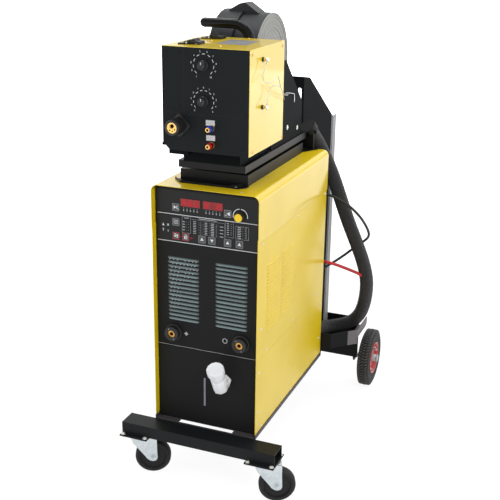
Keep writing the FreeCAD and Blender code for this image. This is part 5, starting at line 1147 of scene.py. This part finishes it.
# Output sockets. Brass sockets in ribbed black collars; a plus and a ringed minus stand beside
# them, and each collar has two pale ticks.
dressed(plated("socket_brass", (0.62, 0.34, 0.09, 1), 0.34, 500, 0.00003, 0.0006, (0.4, 0.2, 0.05, 1)),
        "socket_inserts")
collar, ticks = Form(), Print(0.2, 0.15)
for x in (-SOCKET_X, SOCKET_X):
    collar.turned("y", x, SOCKET_Z, [(13.06, 0.2), (22, 0.2), (24.6, 1), (25.8, 3.4), (25.9, 18.8), (29.7, 20),
                                     (29.8, 24.9), (13.06, 24.9)], 96, grip(32, 0.7, 25.5))
    for t in (118, -62):
        a, b = math.cos(math.radians(t)), math.sin(math.radians(t))
        ticks.stroke(x + 17 * a, SOCKET_Z + 17 * b, x + 21.4 * a, SOCKET_Z + 21.4 * b, 1.5)
collar.piece("socket_collars", knob_black, "cart", "black_plastic", ["output_sockets"], degrees=50)
ticks.piece("socket_ticks", pale_ink, "cart", "pale_paint")
pole_signs_and_edge_highlight = Print(FRONT_Y).box(-78, SOCKET_Z, 13, 3.4).box(-78, SOCKET_Z, 3.4, 13)
# Besides the plus and minus, the long thin white line along the foot of the front sheet is a painted highlight of its
# lower edge.
pole_signs_and_edge_highlight.arc(64, 530, 8, 1.6, 0, 360, 40).box(64, 530, 11, 3).box(-4, 480.9, 361, 0.7)
pole_signs_and_edge_highlight.piece("pole_marks", white_ink, "cart", "pale_paint")

# Cooler front. A strip of the translucent tank shows in the sight slot; the filler is a white
# plastic elbow under a ribbed screw cap.
FILLER_X, CORNER_Y, FILLER_Z = 65, -17, 385
LEAN = Matrix.Rotation(math.radians(28), 3, "X")
FLATS, FLATS_FROM = 12, 27
dressed(plastic("tank_milky_plastic", (0.30, 0.28, 0.36, 1), 0.35, 0.4, 0.0008, 0.4), "coolant_tank")
white_plastic = plastic("filler_white_plastic", (0.86, 0.88, 0.92, 1), 0.34, 0.5, 0.001, 0.05)


def leaning(form):
    """Tip a piece forward about the corner of the elbow."""
    return form.turn(LEAN, (FILLER_X, CORNER_Y, FILLER_Z))


def facets(turn, radius, along):
    """Flats round the cap."""
    half = math.pi / FLATS
    return math.cos(half) / math.cos((turn + half) % (2 * half) - half) if radius > FLATS_FROM else 1


elbow = Form().loft([
    [Vector((x, y, FILLER_Z + up)) for x, y in around(FILLER_X, CORNER_Y, radius, 8, 0.39)]
    for up, radius in ((-24, 16.5), (-21, 21), (-15, 25.6), (36, 25.6), (40, 23.5))])
leaning(elbow.turned("z", FILLER_X, CORNER_Y, counted(
    FILLER_Z, 1, (0, 34), (22.6, 34), (22.6, 52), (25.4, 54), (25.4, 63.4), (24, 65.4), (21.9, 65.5), (21.9, 75.8),
    (0, 75.8)), 64))
for low, high, radius in ((14.5, 24.8, 24.6), (6, 14.6, 23)):
    elbow.hexagon("y", low, high, FILLER_X, FILLER_Z, radius, 0.25)
elbow.turned("y", FILLER_X, FILLER_Z, [(0, 30), (18.8, 30), (18.8, 10), (22.4, 6), (22.4, CORNER_Y + 1),
                                       (0, CORNER_Y)], 56)
elbow.piece("filler_elbow_body", white_plastic, "cart", "white_plastic", ["filler_elbow"], 1.2, 40)
cap = Form().turned("z", FILLER_X, CORNER_Y, counted(
    FILLER_Z, 1, (22.1, 66.1), (28.6, 66.1), (29.9, 68), (29.9, 88.6), (28.4, 90.8), (25.6, 91.8), (24.4, 91.6),
    (23, 89.4), (12, 88.4), (0, 88.2), (0, 77.2), (22.1, 77.2)), 96, facets)
leaning(cap).piece("filler_screw_cap", white_plastic, "cap", "white_plastic", ["filler_cap"], degrees=24)
dressed(plated("heatsink_alloy", (0.66, 0.67, 0.69, 1), 0.4, 150), "power_module")

# Rear of the case. Black sheet with a guarded fan, moulded connectors with clamp nuts, and a
# mains switch on a plate that has plain figures only.
FAN_X, FAN_Z, REAR_Y = -108, 760, 716
SWITCH_X, SWITCH_Z = -120, 930
dressed(front_coat, "rear_panel")
dressed(plastic("fan_black_plastic", (0.010, 0.010, 0.011, 1), 0.5), "cooling_fan")
dressed(knob_black, "mains_switch")
nuts = Form()
for x, z, low, high, radius, hole in (
        (150, 872, 716.2, 722, 17.6, 14.1), (150, 540, 716.2, 722, 17.6, 14.1), (150, 540, 723.5, 730, 16, 14.1),
        (150, 600, 716.2, 721, 13, 9.1), (148, 288, 719.4, 724.5, 39, 32.1), (148, 288, 725.4, 730.6, 37, 32.1)):
    cut_sheet(nuts, "y", low, high, around(x, z, radius, 6, 0.3), [around(x, z, hole, 32)])
nuts.piece("rear_clamp_nuts", knob_black, "cart", "black_plastic", (), 0.8)
guard = Form()
for radius in (14, 24, 34, 44, 54):
    guard.loft([[Vector((FAN_X + r * math.cos(t), y, FAN_Z + r * math.sin(t)))
                 for r, y in around(radius, 718.4, 1.2, 8)]
                for t in (math.pi / 28 * k for k in range(56))], closed=True)
for t in (math.pi / 4 + math.pi / 2 * k for k in range(4)):
    guard.loft([[Vector((FAN_X + r * math.cos(t) - off * math.sin(t), y, FAN_Z + r * math.sin(t) + off * math.cos(t)))
                 for off, y in around(0, 717.4, 1.3, 8)] for r in (12, 60)])
guard.piece("fan_guard_rings", plated("guard_chrome", (0.7, 0.7, 0.7, 1), 0.25, 600), "cart", "zinc")
scattered("fan_guard_screws", pan_head("head", 4, 1.8, (0, 1, 0), 6),
          [(x, 718.6, z) for x, z in around(FAN_X, FAN_Z, 60, 4, math.pi / 4)], bolt_zinc, "cart")
scattered("rear_panel_screws", pan_head("head", 4.5, 1.9, (0, 1, 0)),
          [(a, REAR_Y, z) for a in (-170, 170) for z in (300 if a < 0 else 340, 460, 520, 700, 900, 1010)],
          bolt_zinc, "cart")
dial = cut_sheet(Form(), "y", REAR_Y, REAR_Y + 1, [(-152, 898), (-88, 898), (-88, 962), (-152, 962)],
                 [around(SWITCH_X, SWITCH_Z, 23, 32)])
label_foil = plated("label_foil", (0.42, 0.43, 0.46, 1), 0.45, 900, 0.00002, 0.0003)
dial.piece("switch_plate", label_foil, "cart", "cast_alu")
figures = Print(REAR_Y + 1).figure("0", 0, 0, 8)
for vertex in figures.mesh.verts:
    vertex.co = Vector((SWITCH_X - vertex.co.x, vertex.co.y, SWITCH_Z + 25 + vertex.co.z))
figures.box(-92.5, SWITCH_Z, 1.8, 8)
figures.piece("switch_figures", ink("dark_ink", (0.01, 0.01, 0.01, 1)), "cart", "black_paint")

# Platform and turning tray. Folded channels in satin black; the tray turns on a boss of the
# platform, and the cuff behind them grips the hose sleeve.
tray_black = powder_coat("tray_satin_black", (0.0035, 0.0038, 0.0042, 1), 0.34, 0.18, 0.0, 0.15)
dressed(tray_black, "platform", "swivel_tray")
clamp = Form()
for k in (-1, 1):
    clamp.turned("y", 112 + 31.5 * k, 1112, [(0, 688), (4, 688), (4, 704), (3, 705), (0, 705)], 16)
clamp.piece("cuff_screws", tray_black, "cart", "black_paint")

# Feeder body. Black floor, back, drive wall and front; the spool bracket and its stand are
# bolted to the tray behind it.
FACE_Y, DIAL_X = 13.5, -6
feeder_coat = powder_coat("feeder_black_coat", (0.0078, 0.0098, 0.0108, 1), 0.5, 0.11, 0.0, 0.2)
dressed(feeder_coat, "feeder_front")
dressed(matt_coat, "feeder_frame", "spool_bracket")
scattered("feeder_front_screws", pan_head("head", 3.4, 1.3, (0, -1, 0)),
          [(x, FACE_Y, z) for x, z in ((-60, 1470), (-63, 1281), (132, 1285), (126, 1479), (-88, 1467), (-89, 1307),
                                       (-60, 1182), (126, 1186))], feeder_coat, "feeder")
dials = Print(FACE_Y)
for z, words, spread in ((1434, "1 2 3 4 5 6 7 8 9 10", 292), (1324, "5 4 3 2 1 0 1 2 3 4 5", 268)):
    words = words.split()
    start, step = 90 + spread / 2, spread / (len(words) - 1)
    for k, word in enumerate(words):
        turn = math.radians(start - spread * k / (len(words) - 1))
        dials.figure(word, DIAL_X + 42.5 * math.cos(turn), z + 42.5 * math.sin(turn), 5.6)
        if k:
            last = start - spread * (k - 1) / (len(words) - 1)
            dials.arc(DIAL_X, z, 34, 1.7, last - step * 0.26, last - step * 0.74, 6)
dials.piece("dial_scales", white_ink, "feeder", "pale_paint")
plates, lines = Print(FACE_Y, 0.3), Print(FACE_Y, 0.36)
for x, z in ((16.5, 1259.5), (17.5, 1212.5)):
    plates.box(x, z, 30, 17)
    lines.frame(x, z, 27, 14, 0.5).line(0.5, (x - 5, z - 7), (x - 5, z + 7)).box(x + 4, z + 3, 12, 1.0)
    lines.box(x + 4, z - 2, 12, 1.0).arc(x - 9, z, 2.6, 0.7, 20, 340, 12)
plates.piece("port_labels", ink("label_white", (0.72, 0.73, 0.74, 1)), "feeder", "pale_paint")
lines.piece("port_label_lines", border_ink, "feeder", "membrane")
Print(FACE_Y, 0.05).box(0, 1283, 270, 0.6).box(-73, 1380, 0.6, 196).piece(
    "front_seams", ink("seam_dark", (0.003, 0.003, 0.003, 1)), "feeder", "black_paint")
Form().block(-146.2, -142.9, 12.3, 12.85, 1184, 1485.6).piece(
    "front_edge_trim", feeder_coat, "feeder", "black_paint", (), 0.15)

# Speed and voltage knobs. Black moulded knobs with a white pointer line.
for word, z, node, body in (("feed", 1434, "feed_knob", "speed_knob"), ("volts", 1324, "voltage_knob", "volts_knob")):
    Form().turned("y", DIAL_X, z, [
        (BORE, 13.2), (16.8, 13.2), (16.9, 8.6), (16.2, 7.6), (13.9, 7), (12.8, -7), (11.2, -8.5), (8, -8.5),
        (7.2, -7.7), (0, -7.6), (0, -4.5), (BORE, -4.5)], 72, grip(18, 1.0, 12.5)).piece(
        f"{word}_knob_body", knob_black, body, "black_plastic", [node], degrees=45)
    for label, face, thin, up, width, height in (("line", -8.4, 0.35, 7.5, 1.9, 7.5),
                                                 ("mark", 7.4, 0.2, 14.4, 1.6, 3)):
        Print(face, thin).box(DIAL_X, z + up, width, height).piece(
            f"{word}_knob_{label}", white_ink, body, "pale_paint")

# Gun socket. A ribbed black collar on a rounded diamond flange, round a brass core with the wire
# bore and three control holes.
GUN_X, GUN_Z, FLANGE_R = -88, 1245, 29.6
outline = []
for k in range(4):
    middle = math.pi / 2 * k
    outline += around(GUN_X + FLANGE_R * math.cos(middle), GUN_Z + FLANGE_R * math.sin(middle), 7, 9,
                      middle - math.pi / 4, math.pi / 16)
flange = cut_sheet(Form(), "y", 8.2, 13.4, outline, [around(GUN_X, GUN_Z, 17.3, 40)])
flange.turned("y", GUN_X, GUN_Z, [(17.06, -44.8), (22, -44.8), (23.8, -43.6), (25.4, -40), (25.5, -8), (25.1, 1),
                                 (25.5, 3), (25.4, 8.3), (17.06, 8.3)], 96, grip(20, 1.5, 25.3))
flange.piece("gun_socket_collar", knob_black, "feeder", "black_plastic", ["gun_collar"], 0.5, 45)
scattered("gun_flange_screws", pan_head("head", 3.2, 1.6, (0, -1, 0)),
          [(GUN_X + 30.5 * a, 8.2, GUN_Z + 30.5 * b) for a, b in ((1, 0), (-1, 0), (0, 1), (0, -1))], knob_black,
          "feeder")
gold = plated("gun_core_brass", (0.74, 0.49, 0.16, 1), 0.27, 700, 0.00002, 0.0005, (0.7, 0.38, 0.1, 1))
dressed(gold, "gun_core", "coupling_bodies")

# Coolant couplings. Brass bodies with spring sleeves, one anodised blue and one red.
for word, z, colour in (("blue", 1244, (0.02, 0.07, 0.62, 1)), ("red", 1191, (0.46, 0.012, 0.018, 1))):
    Form().turned("y", 22, z, [(6.06, -10), (9.4, -10), (10.3, -9.2), (10.4, -6), (9.6, -5.2), (9.6, -4),
                               (10.4, -3.2), (10.4, 2.4), (9.4, 4.8), (6.06, 4.8)], 60, grip(20, 0.5, 10.3)).piece(
        f"coupling_{word}_sleeve", plated(f"anodised_{word}", colour, 0.3, 900, 0.00002, 0.0005), f"{word}_ring",
        f"{word}_anodised", [f"coupling_sleeve_{word}"], degrees=45)

# Feeder skins. A fixed yellow cover and a hinged door that carries two black toggle latches.
TOP_Z, TOP_SEAT, LATCH_X = 1487, 1486.9, -87
skin_coat = powder_coat("feeder_yellow_coat", YELLOW, 0.4, 0.08, 1.0, 0.1, 0.00002, 0.0012)
dressed(skin_coat, "feeder_cover", "feeder_door")
copper = plated("screw_copper", (0.80, 0.36, 0.20, 1), 0.3, 400, 0.00002, 0.0004)
for label, head, spots in (
        ("top", (3.8, 1.8, (0, 0, 1)), [(27, 69, TOP_Z), (25, 305, TOP_Z), (-57, 189, TOP_Z)]),
        ("side", (4.6, 2.0, (1, 0, 0)), [(146, 33, 1471), (146, 295, 1471), (146, 308, 1172), (146, 41, 1174)])):
    scattered(f"feeder_{label}_screws", pan_head(label, *head), spots, copper, "feeder")
top_foil = plated("top_plate_foil", (0.17, 0.175, 0.185, 1), 0.55, 900, 0.00002, 0.0003)
Form().block(-15, 88, 122, 245, TOP_SEAT, 1487.35).piece("feeder_top_plate", top_foil, "feeder", "cast_alu", (), 0.2)
rules = Form()
for k in range(8):
    rules.block(-8, 30 + 12 * (k % 3), 134 + 13 * k, 135.4 + 13 * k, 1487.3, 1487.42)
rules.block(52, 80, 150, 151, 1487.3, 1487.42)
rules.piece("feeder_plate_lines", border_ink, "feeder", "membrane")
pin_white = ink("rivet_white", (0.66, 0.66, 0.64, 1))
for word, y, body in (("front", 68, "front_latch"), ("rear", 236, "rear_latch")):
    dressed(knob_black, f"latch_{word}")
    ridge = Form()
    for k in range(7):
        x = -84.5 + 3.3 * k
        rise = 0.24 * (x - LATCH_X)
        ridge.prism("y", y + 3, y + 37, [(x + a, b + rise) for a, b in (
            (0, 1497.6), (1.7, 1498), (1.5, 1499.4), (0.2, 1499.1))])
    ridge.piece(f"latch_{word}_ribs", knob_black, body, "black_plastic", (), 0.3)
    base = Form().block(-114, -93.4, y - 9, y + 49, TOP_SEAT, 1491)
    for y0, y1 in ((y - 4.6, y - 0.15), (y + 40.15, y + 44.6)):
        base.block(-93.4, -79.7, y0, y1, TOP_SEAT, 1497.4)
    base.piece(f"latch_{word}_base", knob_black, "door", "black_plastic", (), 0.6)
    scattered(f"latch_{word}_pins", pan_head("pin", 2.9, 1.2, (0, -1, 0)), [(LATCH_X, y - 4.5, 1492.6)], pin_white,
              "door")
    scattered(f"latch_{word}_rivets", pan_head("rivet", 2.2, 0.9, (0, 0, 1)),
              [(-103, y + k, 1491) for k in (-4, 44)], pin_white, "door")

# Side plugs. Silver caps on brass stems with black insulating discs.
PLUG_Y = 116
silver = plated("plug_silver", (0.78, 0.78, 0.79, 1), 0.22, 800, 0.00002, 0.0004)
discs, stems, tips = Form(), Form(), Form()
for z in (1449, 1302):
    discs.turned("x", PLUG_Y, z, [(0, 146.1), (7.2, 146.1), (7.2, 148.6), (6.2, 151.4), (0, 151.4)], 36)
    stems.turned("x", PLUG_Y, z, [(0, 151), (4.6, 151), (4.6, 153), (4, 153.6), (4, 158.4), (0, 158.4)], 30)
    tips.turned("x", PLUG_Y, z, [(0, 158), (5.4, 158), (5.6, 159), (5.6, 164.6), (4.8, 165.8), (0, 165.9)], 36,
                grip(12, 0.5, 5.3))
discs.piece("plug_discs", knob_black, "feeder", "black_plastic", ["tethered_plugs"])
stems.piece("plug_stems", gold, "feeder", "brass")
tips.piece("plug_tips", silver, "feeder", "zinc", (), 0, 45)

# Carry handle. Bent steel tube in a glossy black sleeve, bolted to the back of the feeder.
HANDLE_Y, HANDLE_Z = 335, 1529
handle_rubber = powder_coat("handle_black_sleeve", (0.0015, 0.0017, 0.002, 1), 0.05, 0.16, 0.0, 0.01,
                            0.000004)
dressed(handle_rubber, "carry_handle")
ends = Form()
for x in (-146, -28):
    ends.turned("x", HANDLE_Y, HANDLE_Z,
                counted(x, 1, (14, 0), (16.35, 0), (16.5, 0.8), (16.5, 2), (16.35, 2.8), (14, 2.8)), 48)
ends.piece("handle_rings", handle_rubber, "feeder", "black_rubber")
scattered("handle_bolts", pan_head("head", 5, 2.4, (0, 1, 0), 7), [(1, 317, 1457), (39, 317, 1457)], bolt_zinc,
          "feeder")

# Spool cover and its disc. A dark moulded barrel whose right face is a grey disc with pressed
# rings; the spindle, collar and nut in it carry the wire spool.
SPOOL_Y, SPOOL_Z, BARREL_R = 505, 1390, 165.2
DISC_FROM, NO_DISC = 0.0293, 9.0
ROOF_TOP, ROOF_X, ROOF_FALL = 1587, -55, 0.673


def cover_plastic(name, disc_from):
    """Dark barrel; beyond a place along X it is the pale grey of the pressed disc."""
    resin = Finish(name, Specular_IOR_Level=0.28)
    grain, cloud = resin.noise(700, 3), resin.noise(9, 4)
    across, hub = resin.along("X"), place(0, SPOOL_Y, SPOOL_Z)
    high, back = resin.along("Z") - hub.z, resin.along("Y") - hub.y
    out = (high * high + back * back).maths("SQRT")

    def ring(radius, far, near):
        return abs(out - radius).between(far, near)

    # The rings' colour is darker in the grooves as painted shade and paler on the ridges as a painted highlight; the
    # same rings also bump the surface.
    grooves = ring(0.132, 0.0035, 0.0012) + ring(0.102, 0.003, 0.001)
    ridges = ring(0.075, 0.003, 0.001) + ring(0.060, 0.003, 0.001)
    pale = resin.mix(cloud.between(0.3, 0.8), (0.35, 0.35, 0.33, 1), (0.29, 0.29, 0.275, 1))
    pale = resin.mix(grooves * 0.75, pale, (0.07, 0.07, 0.068, 1))
    pale = resin.mix(ridges * 0.4, pale, (0.5, 0.5, 0.48, 1))
    dark = resin.mix(cloud.between(0.35, 0.8) * 0.5, (0.0095, 0.0112, 0.0130, 1), (0.016, 0.0185, 0.021, 1))
    colour = resin.mix(across.between(disc_from, disc_from + 0.0004), dark, pale)
    return resin.laid(Base_Color=colour, Roughness=0.46 + cloud * 0.16,
                      Normal=resin.relief(grain * 0.4 + ridges - grooves, 0.0004, 0.001))


dressed(cover_plastic("spool_cover_plastic", DISC_FROM), "spool_cover")
dark_cover = cover_plastic("spool_lid_plastic", NO_DISC)
dressed(dark_cover, "spool_lid")
ledges = Form()
for radius, tall in ((163.2, 1.6), (132, 0.9), (102, 0.9), (60, 0.8)):
    ledges.turned("x", SPOOL_Y, SPOOL_Z, [
        (radius - 2.2, 29.8), (radius - 2.2, 30 + tall * 0.7), (radius - 0.9, 30 + tall),
        (radius + 0.9, 30 + tall), (radius + 1.6, 30 + tall * 0.6), (radius + 1.6, 29.8)], 120)
grey_disc = plastic("disc_grey_plastic", (0.33, 0.33, 0.31, 1), 0.45, 0.3)
ledges.piece("disc_rings", grey_disc, "feeder", "black_plastic", (), 0, 50)
Form().turned("x", SPOOL_Y, SPOOL_Z, [(BARREL_R, -63), (169.3, -63), (169.3, -60.5), (BARREL_R, -60.5)], 120).piece(
    "cover_seam_band", dark_cover, "feeder", "black_plastic", (), 0, 50)
gable = Form()
for k in range(14):
    x = -53 + 3.3 * k
    z = ROOF_TOP - ROOF_FALL * (x - ROOF_X)
    gable.prism("y", 466, 530, [(x + a, z + b) for a, b in (
        (0, -1.5), (1.9, -2.8), (2.1, -0.7), (1.1, 0.4), (0.2, 0.9))])
gable.piece("cover_gable_ribs", plastic("rib_grey_plastic", (0.045, 0.045, 0.046, 1), 0.4), "feeder",
            "black_plastic")
scattered("lid_rivet", pan_head("rivet", 4, 1.6, (-0.35, 0, 0.94)), [(-74, 486, 1584)],
          ink("rivet_pale", (0.6, 0.6, 0.58, 1)), "lid")

# Wire spool. A black plastic reel full of copper-coated wire in close layers.
CORE_R, WIRE_R, WIRE_TOP, WIRE_PITCH = 111, 142.6, 143.3, 1.5
dressed(plastic("reel_black_plastic", (0.02, 0.02, 0.022, 1), 0.4), "wire_spool")
profile = [(CORE_R, -117.5)]
for k in range(62):
    profile += counted(-117.2 + WIRE_PITCH * k, 1, (WIRE_R, 0), (WIRE_TOP, 0.5), (WIRE_TOP, 1.0),
                       (WIRE_R, WIRE_PITCH))
profile.append((CORE_R, -24.3))
Form().turned("x", SPOOL_Y, SPOOL_Z, profile, 96).piece(
    "wire_winding", plated("wire_copper", (0.84, 0.42, 0.24, 1), 0.3, 1200), "spool", "copper_wire", (), 0, 60)

# Wire drive. A geared motor on the drive wall, hardened rolls and brass guides.
dressed(plated("drive_cast_zinc", (0.42, 0.43, 0.44, 1), 0.42, 120, 0.00006, 0.001), "wire_drive")
dressed(plated("roll_steel", (0.62, 0.61, 0.6, 1), 0.24, 500), "drive_roll", "pressure_roll")

# Bracket fittings. Zinc bolts with washers and a bent steel wire on the bracket's outer side.
LEG_STEPS = 6


def hung(name, radius, *route):
    """Round wire of a few straight legs, in millimetres."""
    spots = [place(*spot) for spot in route]
    legs = [start.lerp(end, k / LEG_STEPS) for start, end in zip(spots, spots[1:]) for k in range(LEG_STEPS)]
    return tube_mesh(name, legs + [spots[-1]], radius * 0.002, 12)


kept("bracket_wire", hung("bracket_wire", 1.3, (107.9, 443, 1295), (108, 488, 1287.4), (108.3, 527, 1279.6),
                          (108.3, 533, 1276), (108.2, 535, 1262), (107.9, 535.4, 1249)),
     bright_wire, "feeder")
scattered("bracket_bolts", pan_head("head", 6, 3, (1, 0, 0), 8.5),
          [(107, 470, 1170), (107, 577, 1150), (107, 380, 1150)], bolt_zinc, "feeder")
studs = Form()
for y in (470, 577):
    studs.hexagon("z", 1126, 1134, 92, y, 7.5, 0.2)
    studs.turned("z", 92, y, [(0, 1122.1), (9.5, 1122.1), (9.5, 1124.4), (0, 1124.4)], 24)
    studs.turned("z", 92, y, [(0, 1124), (4, 1124), (4, 1142), (3.2, 1143), (0, 1143)], 16)
studs.piece("bracket_foot_bolts", bolt_zinc, "feeder", "zinc", (), 0.3)
